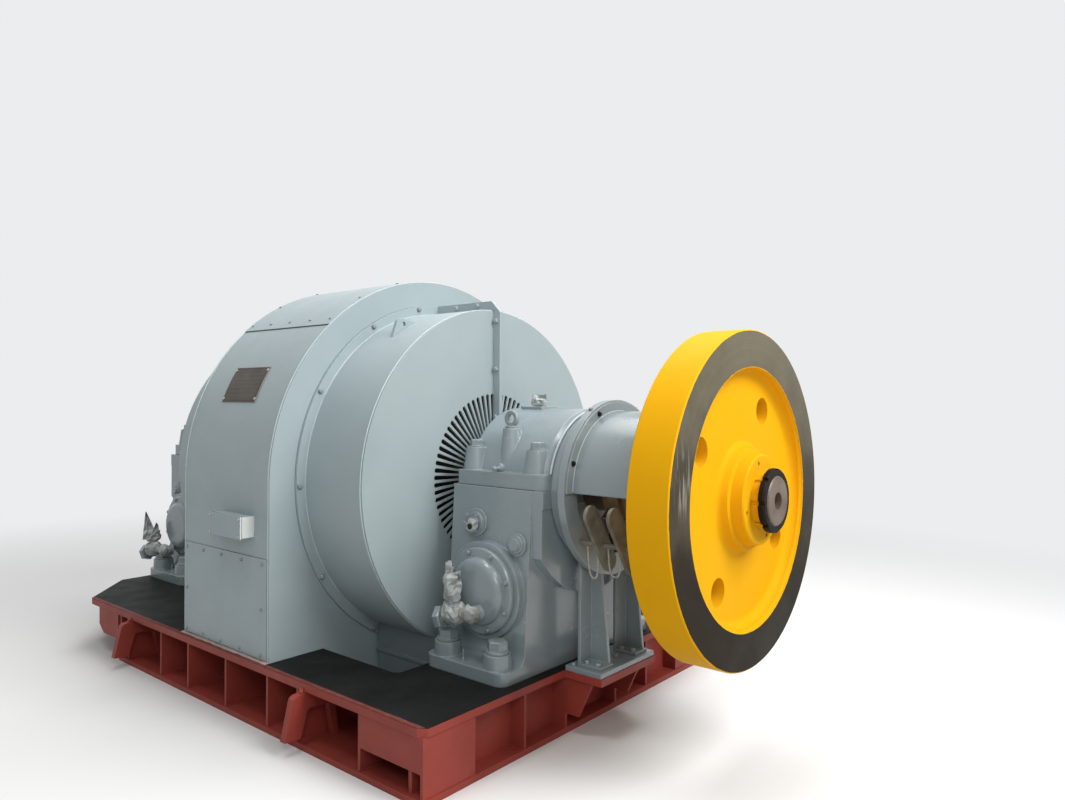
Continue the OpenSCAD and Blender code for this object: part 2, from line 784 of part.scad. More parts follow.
// Two angle-shaped posts that face the same way: a broad flange and a web that widens to its foot
module brush_posts() color("#8c989d") difference() {
    for (y = [-post_y, post_y - post_flange_w]) brush_post(y);
    round_x(brush_ring_r, brush_ring_back, brush_ring_x + 200);
    round_x(brush_neck_r, post_x - 50, brush_ring_back + 1);
}

module brush_post(y) {
    top = shaft_z - 350;
    web_y = y + post_flange_w;
    translate([post_x, y, stand_top]) cube([rib_t, post_flange_w, top - stand_top]);
    across_y(web_y - rib_t, web_y) polygon([
        [post_x + rib_t, stand_top], [post_x + 122, stand_top],
        [post_x + 66, top], [post_x + rib_t, top]]);
    translate([post_x, y, stand_top]) cube([136, post_flange_w, 14]);
}

module brush_stand_plate() color("#8c989d")
    translate([base_front + 4, -shelf_half_w + 2, plate_top])
        cube([shelf_reach - 8, 2 * shelf_half_w - 4, stand_top - plate_top]);

module shaft() color("#8a8781") turned_x([
    [rear_nose_x - 20 - driven_end_length, 0], [rear_nose_x - 20 - driven_end_length, shaft_end_r - 6],
    [rear_nose_x - 14 - driven_end_length, shaft_end_r], [rear_nose_x - 20, shaft_end_r],
    [rear_nose_x - 20, journal_r], [-drum_end - 30, journal_r],
    [-drum_end - 30, shaft_body_r], [drum_end + 30, shaft_body_r],
    [drum_end + 30, journal_r], [hub_back - 12, journal_r],
    [hub_back - 12, wheel_seat_r], [hub_front, wheel_seat_r],
    [hub_front, shaft_end_r], [shaft_tip - 6, shaft_end_r], [shaft_tip, shaft_end_r - 6],
    [shaft_tip, 38], [shaft_tip - 34, 36], [shaft_tip - 34, 14], [shaft_tip - 60, 0]]);

// Half of the flywheel's section, as distance along the shaft and radius
function wheel_section() = concat(
    [[hub_back, wheel_seat_r], [hub_back, hub_r - 20], [hub_back + 12, hub_r]],
    [[wheel_back + web_depth - 24, hub_r + 26], [wheel_back + web_depth, hub_r + 56]],
    [[wheel_back + web_depth, rim_in_r - 40], [wheel_back + web_depth - 30, rim_in_r - 10]],
    [[wheel_back, rim_in_r], [wheel_back, wheel_r - 5], [wheel_back + 5, wheel_r]],
    [[wheel_x - 5, wheel_r], [wheel_x, wheel_r - 5], [wheel_x, rim_in_r], [wheel_x - 8, rim_in_r - 2]],
    arc([wheel_x - web_depth + 42, rim_in_r - 50], 42, 90, 180, 8),
    arc([wheel_x - web_depth + 30, hub_r + 64], 30, 180, 250, 8),
    [[wheel_x - 16, hub_r + 28], [wheel_x - 12, hub_r + 8], [hub_front - 6, hub_r], [hub_front, hub_r - 6]],
    [[hub_front, wheel_seat_r]]);

tapped_pitch_r = 165;
module flywheel() color("goldenrod") difference() {
    turned_x(wheel_section());
    for (i = [0:web_hole_count - 1])
        wheel_hole(60 + i * 360 / web_hole_count, web_hole_pitch_r, web_hole_r, wheel_back - 1, wheel_w + 2);
    for (i = [0:3])
        wheel_hole(15 + i * 90, tapped_pitch_r, 10, hub_front - 40, 41);
}

// Hole along the shaft at an angle from the far side, turning upwards
module wheel_hole(angle, pitch_r, r, x, depth)
    translate([x, pitch_r * cos(angle), shaft_z + pitch_r * sin(angle)])
        rotate([0, 90, 0]) cylinder(r = r, h = depth);

collar_slots = 8;
// Ring on the shaft end with slots across its rim
module slotted_ring(r, from, to, depth, width) difference() {
    turned_x([[from, shaft_end_r], [from, r], [to - 8, r], [to, r - 8], [to, shaft_end_r]]);
    for (i = [0:collar_slots - 1])
        translate([0, 0, shaft_z]) rotate([i * 360 / collar_slots, 0, 0])
            translate([from - 1, -width / 2, r - depth]) cube([to - from + 2, width, depth + 10]);
}

module shaft_collar() color("goldenrod") slotted_ring(collar_r, hub_front, hub_front + collar_l, 6, 16);
module lock_nut() color("#2c2c2e")
    slotted_ring(nut_r, hub_front + collar_l, hub_front + collar_l + nut_l, 9, 20);

sleeve_r = 160;
sleeve_from = 20;
sleeve_to = 330;
slip_ring_from = [70, 195];
slip_ring_w = 60;
module slip_rings() color("#6d5a45") {
    ring_x(sleeve_r, journal_r, brush_ring_x + sleeve_from, brush_ring_x + sleeve_to);
    for (x = slip_ring_from)
        ring_x(slip_ring_r, sleeve_r - 4, brush_ring_x + x, brush_ring_x + x + slip_ring_w);
}

base_side_beams();
base_end_beams();
base_pit_girders();
base_cross_members();
base_jacking_lugs();
base_end_plates();
base_side_plates();
brush_shelf();
deck_sheet();
stator_bed();
housing_casing();
housing_front_plate();
housing_rear_plate();
side_panels();
roof_panel();
nameplate();
terminal_box();
drum_rings();
front_drum();
rear_drum();
front_vent_face();
rear_vent_face();
drum_joint_flanges();
drum_lifting_plates();
air_boxes();
front_pedestal();
front_bearing_cap();
front_side_covers();
front_oil_gauges();
rear_pedestal();
rear_bearing_cap();
rear_side_covers();
rear_oil_gauges();
bearing_lifting_eyes();
oil_fittings();
brush_end_ring();
brush_cover();
brush_holders();
brush_posts();
brush_stand_plate();
shaft();
flywheel();
shaft_collar();
lock_nut();
slip_rings();
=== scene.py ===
"""Looks of a horizontal hydroelectric generator: finishes, fasteners and small fittings.

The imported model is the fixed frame. Lengths are metres, +X runs along the shaft towards the
flywheel, +Z is up and the origin is on the floor under the middle of the housing.
"""

from __future__ import annotations

import logging
import math
from dataclasses import dataclass
from enum import Enum
from functools import cache
from itertools import product
from typing import Any, Iterable, Sequence

import bmesh
import bpy
from mathutils import Matrix, Vector, noise

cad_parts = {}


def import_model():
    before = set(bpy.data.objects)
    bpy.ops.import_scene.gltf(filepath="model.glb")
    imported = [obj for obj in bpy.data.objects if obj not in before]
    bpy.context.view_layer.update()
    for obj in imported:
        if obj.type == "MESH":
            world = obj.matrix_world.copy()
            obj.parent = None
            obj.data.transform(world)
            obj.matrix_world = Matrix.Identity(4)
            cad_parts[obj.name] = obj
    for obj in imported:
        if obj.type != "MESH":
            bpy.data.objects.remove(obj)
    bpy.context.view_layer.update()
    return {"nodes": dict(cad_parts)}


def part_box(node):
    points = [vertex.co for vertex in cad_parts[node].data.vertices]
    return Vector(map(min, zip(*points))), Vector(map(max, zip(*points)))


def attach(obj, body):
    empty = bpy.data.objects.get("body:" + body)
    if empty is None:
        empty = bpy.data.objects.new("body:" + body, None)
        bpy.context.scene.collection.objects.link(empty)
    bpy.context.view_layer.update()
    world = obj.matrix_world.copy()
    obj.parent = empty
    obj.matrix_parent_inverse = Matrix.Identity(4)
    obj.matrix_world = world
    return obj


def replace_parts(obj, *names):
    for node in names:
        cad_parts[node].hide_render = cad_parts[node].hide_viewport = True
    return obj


log = logging.getLogger("generator")

Colour = tuple[float, float, float]
Point = tuple[float, float, float]
Profile = Sequence[tuple[float, float]]

FRAME = "frame"
UP = Vector((0, 0, 1))
NEAR = Vector((0, -1, 0))
AHEAD = Vector((1, 0, 0))
BACK = Vector((-1, 0, 0))
SIDES = (-1, 1)
LATHE_RINGS = 900.0


@dataclass(frozen=True)
class Machine:
    """Main sizes of the machine, the same as those of its solids."""

    shaft_z: float = 1.205
    base_h: float = 0.320
    base_hw: float = 1.172
    housing_r: float = 1.135
    housing_hl: float = 0.430
    panel_t: float = 0.005
    drum_r: float = 0.940
    ring_r: float = 0.991
    ring_front: float = 0.448
    front_bearing_x: float = 1.282
    rear_bearing_x: float = -1.722
    foot_top: float = 0.382
    boss_h: float = 0.068
    brush_ring_x: float = 1.733

    def on_axis(self, x: float, radius: float, degrees: float) -> Vector:
        """Returns a point beside the shaft axis.

        Args:
            x: Distance along the shaft.
            radius: Distance from the shaft axis.
            degrees: Angle from the far side (+Y), turning upwards.

        Returns:
            The point in the row frame.
        """
        turn = math.radians(degrees)
        return Vector((x, radius * math.cos(turn), self.shaft_z + radius * math.sin(turn)))


M = Machine()


class Value:
    """What a node gives, with arithmetic that adds Math nodes to its tree."""

    def __init__(self, tree: Tree, socket: bpy.types.NodeSocket) -> None:
        """Keeps the socket and the tree that it is in."""
        self.tree = tree
        self.socket = socket

    def math(self, operation: str, other: Any = 0.0, clamp: bool = False) -> Value:
        """Adds a Math node that takes this value first.

        Args:
            operation: The node's operation.
            other: Its second value.
            clamp: Whether the result is held between 0 and 1.

        Returns:
            Its result.
        """
        return self.tree.math(operation, self, other, clamp)

    def __add__(self, other: Any) -> Value:
        """Adds a value."""
        return self.math("ADD", other)

    def __sub__(self, other: Any) -> Value:
        """Takes a value away."""
        return self.math("SUBTRACT", other)

    def __rsub__(self, other: float) -> Value:
        """Is taken away from a number."""
        return self.tree.math("SUBTRACT", other, self)

    def __mul__(self, other: Any) -> Value:
        """Multiplies by a value."""
        return self.math("MULTIPLY", other)

    def __truediv__(self, other: Any) -> Value:
        """Divides by a value."""
        return self.math("DIVIDE", other)

    def __lt__(self, other: Any) -> Value:
        """Gives 1 where it is less than a value."""
        return self.math("LESS_THAN", other)

    def __gt__(self, other: Any) -> Value:
        """Gives 1 where it is more than a value."""
        return self.math("GREATER_THAN", other)

    def __abs__(self) -> Value:
        """Drops the sign."""
        return self.math("ABSOLUTE")


class Tree:
    """A node tree that is filled one node at a time."""

    def __init__(self, tree: bpy.types.NodeTree) -> None:
        """Keeps the tree that is to be filled."""
        self.tree = tree

    def add(self, kind: str, inputs: dict[str | int, Any] | None = None, **settings: Any) -> bpy.types.Node:
        """Adds a node.

        Args:
            kind: The node's Blender type.
            inputs: What feeds its inputs, by name or number.
            **settings: Properties to set on it first.

        Returns:
            The new node.
        """
        node = self.tree.nodes.new(kind)
        for name, value in settings.items():
            setattr(node, name, value)
        self.feed(node, inputs or {})
        return node

    def feed(self, node: bpy.types.Node, inputs: dict[str | int, Any]) -> None:
        """Links a node's inputs, or sets their values.

        Args:
            node: The node to feed.
            inputs: Values, sockets or constants, by the input's name or number.
        """
        for name, value in inputs.items():
            socket = node.inputs[name]
            if isinstance(value, Value):
                value = value.socket
            if isinstance(value, bpy.types.NodeSocket):
                self.tree.links.new(value, socket)
            elif socket.type == "RGBA" and len(value) == 3:
                socket.default_value = (*value, 1.0)
            else:
                socket.default_value = value

    def get(self, kind: str, inputs: dict[str | int, Any] | None = None, output: str | int = 0,
            **settings: Any) -> Value:
        """Adds a node and returns one of its outputs.

        Args:
            kind: The node's Blender type.
            inputs: What feeds its inputs, by name or number.
            output: The output's name or number.
            **settings: Properties to set on it first.

        Returns:
            The output's value.
        """
        return Value(self, self.add(kind, inputs, **settings).outputs[output])

    def given(self) -> dict[str, Value]:
        """Adds the group's input node and returns its values by name."""
        return {s.name: Value(self, s) for s in self.add("NodeGroupInput").outputs if s.name}

    def math(self, operation: str, a: Any, b: Any = 0.0, clamp: bool = False) -> Value:
        """Adds a Math node and returns its result.

        Args:
            operation: The node's operation.
            a: Its first value.
            b: Its second value.
            clamp: Whether the result is held between 0 and 1.

        Returns:
            Its result.
        """
        return self.get("ShaderNodeMath", {0: a, 1: b}, operation=operation, use_clamp=clamp)

    def across(self, a: Value, b: Value) -> Value:
        """Returns the length of the hypotenuse over two lengths."""
        return (a * a + b * b).math("SQRT")

    def blend(self, factor: Any, a: Any, b: Any) -> Value:
        """Returns a mix of two colours, where the factor is the second one's share."""
        return self.get("ShaderNodeMix", {"Factor": factor, 6: a, 7: b}, 2, data_type="RGBA")

    def noise(self, vector: Value, scale: Any, detail: float = 3.0, roughness: float = 0.55) -> Value:
        """Adds a noise texture.

        Args:
            vector: Where it is read.
            scale: Its scale per metre.
            detail: Number of octaves.
            roughness: Weight of the small octaves.

        Returns:
            Its factor.
        """
        return self.get("ShaderNodeTexNoise",
                        {"Vector": vector, "Scale": scale, "Detail": detail, "Roughness": roughness})

    def ramp(self, value: Any, low: Any, high: Any, smooth: bool = True) -> Value:
        """Maps a value from a range to 0 and 1.

        Args:
            value: The value to map.
            low: What becomes 0.
            high: What becomes 1.
            smooth: Whether the ends are eased.

        Returns:
            The mapped value, held between 0 and 1.
        """
        return self.get("ShaderNodeMapRange", {"Value": value, "From Min": low, "From Max": high}, clamp=True,
                        interpolation_type="SMOOTHSTEP" if smooth else "LINEAR")

    def split(self, vector: Any) -> tuple[Value, ...]:
        """Returns a vector's three parts."""
        return tuple(Value(self, s) for s in self.add("ShaderNodeSeparateXYZ", {0: vector}).outputs)

    def place(self) -> Value:
        """Returns the Object coordinates."""
        return self.get("ShaderNodeTexCoord", output="Object")

    def normal(self) -> Value:
        """Returns the surface's direction."""
        return self.get("ShaderNodeNewGeometry", output="Normal")

    def stretched(self, vector: Value, scale: Point, turn: Point = (0.0, 0.0, 0.0)) -> Value:
        """Returns a place that is turned and scaled."""
        return self.get("ShaderNodeMapping", {"Vector": vector, "Rotation": turn, "Scale": scale})

    def bump(self, height: Value, strength: float, distance: float, **normal: Value) -> Value:
        """Adds a Bump node.

        Args:
            height: The height that it reads.
            strength: Its strength.
            distance: How far the full height stands out.
            **normal: The normal under it, if another node bends that.

        Returns:
            The bumped normal.
        """
        return self.get("ShaderNodeBump",
                        {"Strength": strength, "Distance": distance, "Height": height, **normal})

    def use(self, group: bpy.types.NodeTree, **values: Any) -> dict[str, Value]:
        """Places a shader group.

        Args:
            group: The group to place.
            **values: Its inputs, with underscores for spaces.

        Returns:
            Its outputs by name.
        """
        inputs = {name.replace("_", " "): value for name, value in values.items()}
        node = self.add("ShaderNodeGroup", inputs, node_tree=group)
        return {s.name: Value(self, s) for s in node.outputs}


def shader_group(name: str, inputs: dict[str, Any],
                 outputs: Sequence[str]) -> tuple[Tree, dict[str, Value], bpy.types.Node]:
    """Starts a shader group.

    Args:
        name: The group's name.
        inputs: Start values of its inputs, where three numbers are a colour.
        outputs: Names of its outputs, where all but Colour and Normal are numbers.

    Returns:
        The tree, its input values and its output node.
    """
    face = bpy.data.node_groups.new(name, "ShaderNodeTree")
    for label, start in inputs.items():
        number = isinstance(start, float)
        kind = "NodeSocketFloat" if number else "NodeSocketColor"
        socket = face.interface.new_socket(label, in_out="INPUT", socket_type=kind)
        socket.default_value = start if number else (*start, 1.0)
    kinds = {"Colour": "NodeSocketColor", "Normal": "NodeSocketVector"}
    for label in outputs:
        face.interface.new_socket(label, in_out="OUTPUT", socket_type=kinds.get(label, "NodeSocketFloat"))
    tree = Tree(face)
    return tree, tree.given(), tree.add("NodeGroupOutput")


@cache
def painted() -> bpy.types.NodeTree:
    """Returns the group for a coat of paint: blotches, orange peel and small runs."""
    tree, given, out = shader_group(
        "coat of paint",
        {"Colour": (0.5, 0.5, 0.5), "Second Colour": (0.4, 0.4, 0.4), "Blotches": 0.5, "Blotch Scale": 2.0,
         "Peel Scale": 90.0},
        ("Colour", "Roughness", "Height"))
    place = tree.place()
    broad = tree.ramp(tree.noise(place, given["Blotch Scale"], 4.0, 0.6), 0.35, 0.68)
    cloudy = tree.noise(place, 7.0, 3.0, 0.6)
    fine = tree.noise(place, given["Peel Scale"], 2.0, 0.5)
    wavy = tree.noise(place, 5.0, 2.0, 0.5)
    tree.feed(out, {"Colour": tree.blend(broad * given["Blotches"], given["Colour"], given["Second Colour"]),
                    "Roughness": (cloudy - 0.5) * 0.35, "Height": fine * 0.12 + wavy})
    return tree.tree


@cache
def dusty() -> bpy.types.NodeTree:
    """Returns the group for dust, which lies mostly on what faces up."""
    tree, given, out = shader_group(
        "dust film", {"Colour": (0.5, 0.5, 0.5), "Dust": (0.42, 0.40, 0.36), "Amount": 0.3},
        ("Colour", "Mask"))
    place = tree.place()
    up = tree.ramp(tree.split(tree.normal())[2], 0.25, 0.98)
    patches = tree.ramp(tree.noise(place, 3.2, 6.0, 0.7), 0.32, 0.72)
    grains = tree.ramp(tree.noise(place, 60.0, 3.0, 0.7), 0.3, 0.75)
    cover = (up * 0.94 + 0.06) * patches * (grains * 0.5 + 0.5)
    cover = cover.math("MULTIPLY", given["Amount"], clamp=True)
    tree.feed(out, {"Colour": tree.blend(cover, given["Colour"], given["Dust"]), "Mask": cover})
    return tree.tree


@cache
def scuffed() -> bpy.types.NodeTree:
    """Returns the group for scratches and chipped spots."""
    tree, given, out = shader_group(
        "scuffs", {"Colour": (0.5, 0.5, 0.5), "Bare": (0.3, 0.3, 0.3), "Amount": 0.2, "Scale": 14.0},
        ("Colour",))
    place = tree.place()
    along = tree.stretched(place, (1.0, 9.0, 2.0), (0.3, 0.2, 0.7))
    lines = tree.noise(along, given["Scale"], 4.0, 0.65)
    spots = tree.noise(place, given["Scale"] * 3.0, 4.0, 0.75)
    edge = 0.80 - given["Amount"] * 0.22
    marks = tree.ramp(lines.math("MAXIMUM", spots), edge, edge + 0.03)
    tree.feed(out, {"Colour": tree.blend(marks, given["Colour"], given["Bare"])})
    return tree.tree


@cache
def soft_edges() -> bpy.types.NodeTree:
    """Returns the group for edges that are rounded by their paint, and a mask of them."""
    tree, given, out = shader_group("soft edges", {"Radius": 0.003}, ("Normal", "Mask"))
    bevel = tree.get("ShaderNodeBevel", {"Radius": given["Radius"]}, samples=6)
    likeness = tree.get("ShaderNodeVectorMath", {0: bevel, 1: tree.normal()}, "Value",
                        operation="DOT_PRODUCT")
    tree.feed(out, {"Normal": bevel, "Mask": tree.ramp(1.0 - likeness, 0.01, 0.16)})
    return tree.tree


@cache
def turned() -> bpy.types.NodeTree:
    """Returns the group for rings left by a lathe round the shaft axis."""
    tree, given, out = shader_group("turned rings", {"Rings per Metre": 600.0}, ("Shade", "Height", "Radius"))
    x, y, z = tree.split(tree.place())
    radius = tree.across(y, z - M.shaft_z)
    density = given["Rings per Metre"]
    along = tree.get("ShaderNodeCombineXYZ", {0: radius * density, 1: x * density})
    rings = tree.noise(along, 1.0, 2.0, 0.6)
    tree.feed(out, {"Shade": tree.ramp(rings, 0.3, 0.7), "Height": rings, "Radius": radius})
    return tree.tree


@dataclass(frozen=True)
class Surface:
    """A finish whose material is built on its first use."""

    name: str
    colour: Colour
    second: Colour
    slot: str

    def make(self) -> bpy.types.Material:
        """Returns the finish's material."""
        material = bpy.data.materials.get(self.name)
        if not material:
            tree, shader = start_material(self.name)
            self.fill(tree, shader)
            material = bpy.data.materials[self.name]
        return material

    def fill(self, tree: Tree, shader: bpy.types.Node) -> tuple[Value, Value]:
        """Builds the finish in a material.

        Args:
            tree: The material's tree.
            shader: Its Principled BSDF.

        Returns:
            The colour and the roughness that feed the shader.
        """
        raise NotImplementedError


def start_material(name: str) -> tuple[Tree, bpy.types.Node]:
    """Makes a material with a bare Principled BSDF.

    Args:
        name: The material's name.

    Returns:
        Its tree and its shader.
    """
    material = bpy.data.materials.new(name)
    material.use_nodes = True
    shader = next(n for n in material.node_tree.nodes if n.type == "BSDF_PRINCIPLED")
    return Tree(material.node_tree), shader


@dataclass(frozen=True)
class Coating(Surface):
    """A painted or bare surface with blotches, dust, scuffs and soft edges, which are painted paler: partly
    wear, partly a painted highlight.
    """

    blotches: float = 0.5
    blotch_scale: float = 1.6
    peel_scale: float = 90.0
    bump: float = 0.0012
    roughness: float = 0.4
    metallic: float = 0.0
    coat: float = 0.0
    dust: float = 0.3
    dust_colour: Colour = (0.40, 0.41, 0.385)
    scuffs: float = 0.15
    scuff_scale: float = 14.0
    bare: Colour = (0.30, 0.335, 0.34)
    edge_radius: float = 0.003
    # share and colour of the paler edges: partly wear, partly a painted highlight
    edge_wear_and_highlight: float = 0.35
    edge_wear_and_highlight_colour: Colour = (0.55, 0.62, 0.63)
    specular: float = 0.5

    def fill(self, tree: Tree, shader: bpy.types.Node) -> tuple[Value, Value]:
        """Builds the paint under its wear, its painted edge highlight and its dust.

        Args:
            tree: The material's tree.
            shader: Its Principled BSDF.

        Returns:
            Its colour and its roughness.
        """
        coat = tree.use(painted(), Colour=self.colour, Second_Colour=self.second, Blotches=self.blotches,
                        Blotch_Scale=self.blotch_scale, Peel_Scale=self.peel_scale)
        worn = tree.use(scuffed(), Colour=coat["Colour"], Bare=self.bare, Amount=self.scuffs,
                        Scale=self.scuff_scale)
        edges = tree.use(soft_edges(), Radius=self.edge_radius)
        patchy = tree.ramp(tree.noise(tree.place(), 11.0, 4.0, 0.65), 0.25, 0.6)
        # paler edges: partly worn paint, partly a painted highlight along the edges
        worn_and_highlit = edges["Mask"] * self.edge_wear_and_highlight * patchy
        dusted = tree.use(dusty(), Colour=tree.blend(worn_and_highlit, worn["Colour"], self.edge_wear_and_highlight_colour),
                          Dust=self.dust_colour, Amount=self.dust)
        rough = (coat["Roughness"] + self.roughness).math("ADD", dusted["Mask"] * 0.4, clamp=True)
        tree.feed(shader, {
            "Base Color": dusted["Colour"], "Roughness": rough, "Metallic": self.metallic,
            "Normal": tree.bump(coat["Height"], 0.35, self.bump, Normal=edges["Normal"]),
            "Specular IOR Level": self.specular, "Coat Weight": self.coat, "Coat Roughness": 0.15})
        return dusted["Colour"], rough


@dataclass(frozen=True)
class SlottedDrumPaint(Coating):
    """Housing paint with painted shade: the air space behind the slotted face is painted near black."""

    recess_r: float = 0.483
    recess_x: float = 0.735
    face_x: float = 0.8895
    painted_shade_colour: Colour = (0.006, 0.006, 0.007)

    def fill(self, tree: Tree, shader: bpy.types.Node) -> tuple[Value, Value]:
        """Adds the painted shade of the air space behind the slots to the paint.

        Args:
            tree: The material's tree.
            shader: Its Principled BSDF.

        Returns:
            The colour and the roughness of the coating under that.
        """
        colour, rough = super().fill(tree, shader)
        x, y, z = tree.split(tree.place())
        inside = tree.across(y, z - M.shaft_z) < self.recess_r
        # painted shade: inside the slotted face the space is coloured near black and made rough
        dark = inside * ((abs(x) > self.recess_x) * (abs(x) < self.face_x))
        tree.feed(shader, {"Base Color": tree.blend(dark, colour, self.painted_shade_colour),
                           "Roughness": rough.math("MAXIMUM", dark * 0.9)})
        return colour, rough


@dataclass(frozen=True)
class SheetPaint(Coating):
    """Dark deck sheet that stops short of the plates' long edges and leaves them red."""

    sheet_edge: float = 1.149
    plate_colour: Colour = (0.15, 0.038, 0.031)
    chip_colour: Colour = (0.17, 0.085, 0.07)
    seam_x: float = 0.452
    seam_half_w: float = 0.0018
    seam_colour: Colour = (0.004, 0.004, 0.004)

    def fill(self, tree: Tree, shader: bpy.types.Node) -> tuple[Value, Value]:
        """Adds the red border and the seams to the sheet.

        Args:
            tree: The material's tree.
            shader: Its Principled BSDF.

        Returns:
            The colour and the roughness of the coating under that.
        """
        colour, rough = super().fill(tree, shader)
        place = tree.place()
        x, y, _ = tree.split(place)
        wobble = (tree.noise(place, 18.0, 3.0) - 0.5) * 0.009
        border = tree.ramp(abs(y) + wobble, self.sheet_edge, self.sheet_edge + 0.0015, smooth=False)
        chipped = tree.ramp(tree.noise(place, 26.0, 5.0, 0.7), 0.44, 0.62)
        red = tree.blend(chipped * 0.5, self.plate_colour, self.chip_colour)
        seam = abs(abs(x) - self.seam_x) < self.seam_half_w
        tree.feed(shader, {"Base Color": tree.blend(seam, tree.blend(border, colour, red), self.seam_colour)})
        return colour, rough


@dataclass(frozen=True)
class NameplateBronze(Coating):
    """Blank bronze plate with a pale rim, a dark border and empty ruled lines."""

    half_width: float = 0.168
    middle_angle: float = 153.4
    half_height: float = 0.111
    radius: float = 1.139
    rim: float = 0.006
    border: float = 0.015
    border_w: float = 0.0035
    ruling: float = 0.026
    ruled_inset: float = 0.012

    def fill(self, tree: Tree, shader: bpy.types.Node) -> tuple[Value, Value]:
        """Adds the rim, the border and the lines to the bronze.

        Args:
            tree: The material's tree.
            shader: Its Principled BSDF.

        Returns:
            The colour and the roughness of the coating under that.
        """
        colour, rough = super().fill(tree, shader)
        x, y, z = tree.split(tree.place())
        turn = (z - M.shaft_z).math("ARCTAN2", y)
        along = (turn - math.radians(self.middle_angle)) * self.radius
        inset = (self.half_width - abs(x)).math("MINIMUM", self.half_height - abs(along))
        line = (inset < self.border) * (inset > self.border - self.border_w)
        phase = ((along + 1.0) / self.ruling).math("FRACT")
        ruled = (phase < 0.09) * (inset > self.border + self.ruled_inset)
        colour = tree.blend(ruled * 0.5, colour, (0.16, 0.125, 0.085))
        colour = tree.blend(line, colour, (0.012, 0.009, 0.007))
        tree.feed(shader, {"Base Color": tree.blend(inset < self.rim, colour, (0.26, 0.235, 0.20))})
        return colour, rough


@dataclass(frozen=True)
class LitEndBoxPaint(Coating):
    """Housing paint with painted light: faces that point along +X, towards the flywheel, are painted paler.
    """

    painted_light_end_colour: Colour = (0.66, 0.69, 0.665)

    def fill(self, tree: Tree, shader: bpy.types.Node) -> tuple[Value, Value]:
        """Adds the painted light on the faces towards +X to the paint.

        Args:
            tree: The material's tree.
            shader: Its Principled BSDF.

        Returns:
            The colour and the roughness of the coating under that.
        """
        colour, rough = super().fill(tree, shader)
        # painted light: the paler tone follows the faces' direction, not the paint
        end = tree.ramp(tree.split(tree.normal())[0], 0.8, 0.95)
        tree.feed(shader, {"Base Color": tree.blend(end, colour, self.painted_light_end_colour)})
        return colour, rough


@dataclass(frozen=True)
class WheelPaint(Coating):
    """Yellow gloss paint with a turned, unpainted ring on the rim's front face, whose steel carries painted
    light, brighter towards the top.
    """

    ring_in: float = 0.5855
    ring_out: float = 0.7445
    ring_x: float = 2.4565
    steel: Colour = (0.016, 0.010, 0.005)
    # painted light: the steel turns to this paler tone towards the top of the ring
    painted_light_steel: Colour = (0.200, 0.178, 0.125)
    groove: Colour = (0.03, 0.026, 0.02)
    # a patch of pale strokes near one point on the ring's near side
    pale_patch: Colour = (0.36, 0.34, 0.29)
    patch_y: float = -0.645
    patch_z: float = 1.335

    def fill(self, tree: Tree, shader: bpy.types.Node) -> tuple[Value, Value]:
        """Adds the bare ring, with its painted light and a patch of pale strokes, to the paint.

        Args:
            tree: The material's tree.
            shader: Its Principled BSDF.

        Returns:
            The colour and the roughness of the coating under that.
        """
        colour, rough = super().fill(tree, shader)
        rings = tree.use(turned(), Rings_per_Metre=LATHE_RINGS)
        place = tree.place()
        x, y, z = tree.split(place)
        radius = rings["Radius"] + (tree.noise(place, 30.0, 2.0) - 0.5) * 0.004
        bare = (radius > self.ring_in) * (radius < self.ring_out) * (x > self.ring_x)
        film = tree.ramp(tree.noise(place, 4.0, 5.0, 0.6), 0.3, 0.75)
        # painted light: the bare steel is painted dark at the bottom and bright at the top
        high = z + (film - 0.5) * 0.35
        steel = tree.blend(tree.ramp(high, 0.7, 2.1), self.steel, self.painted_light_steel)
        steel = tree.blend(rings["Shade"] * 0.3, steel, self.groove)
        # pale strokes in a patch near one point of the ring
        strokes = tree.stretched(place, (1.0, 60.0, 5.0))
        stroke = tree.ramp(tree.noise(strokes, 1.0, 2.0, 0.6), 0.5, 0.62)
        near = tree.across(y - self.patch_y, (z - self.patch_z) * 0.45)
        patched = stroke * tree.ramp(near, 0.085, 0.03)
        steel = tree.blend(patched * 0.6, steel, self.pale_patch)
        dull = film * 0.14 + 0.34
        mixed = tree.get("ShaderNodeMix", {"Factor": bare, 2: rough, 3: dull}, data_type="FLOAT")
        tree.feed(shader, {"Base Color": tree.blend(bare, colour, steel), "Roughness": mixed,
                           "Metallic": bare * 0.25})
        return colour, rough


@dataclass(frozen=True)
class TurnedSteel(Surface):
    """Machined steel with lathe rings round the shaft axis and an uneven oil film."""

    roughness: float = 0.35
    groove: Colour = (0.09, 0.085, 0.08)

    def fill(self, tree: Tree, shader: bpy.types.Node) -> tuple[Value, Value]:
        """Builds the turned steel.

        Args:
            tree: The material's tree.
            shader: Its Principled BSDF.

        Returns:
            Its colour and its roughness.
        """
        rings = tree.use(turned(), Rings_per_Metre=LATHE_RINGS)
        film = tree.ramp(tree.noise(tree.place(), 9.0, 5.0, 0.6), 0.3, 0.72)
        colour = tree.blend(film, self.colour, self.second)
        colour = tree.blend(rings["Shade"] * 0.25, colour, self.groove)
        rough = film * 0.18 + self.roughness
        tree.feed(shader, {"Base Color": colour, "Roughness": rough, "Metallic": 0.1,
                           "Specular IOR Level": 0.25, "Normal": tree.bump(rings["Height"], 0.2, 0.0004)})
        return colour, rough


HOUSING_GREY = ((0.345, 0.415, 0.432), (0.295, 0.362, 0.38), "housing_grey")


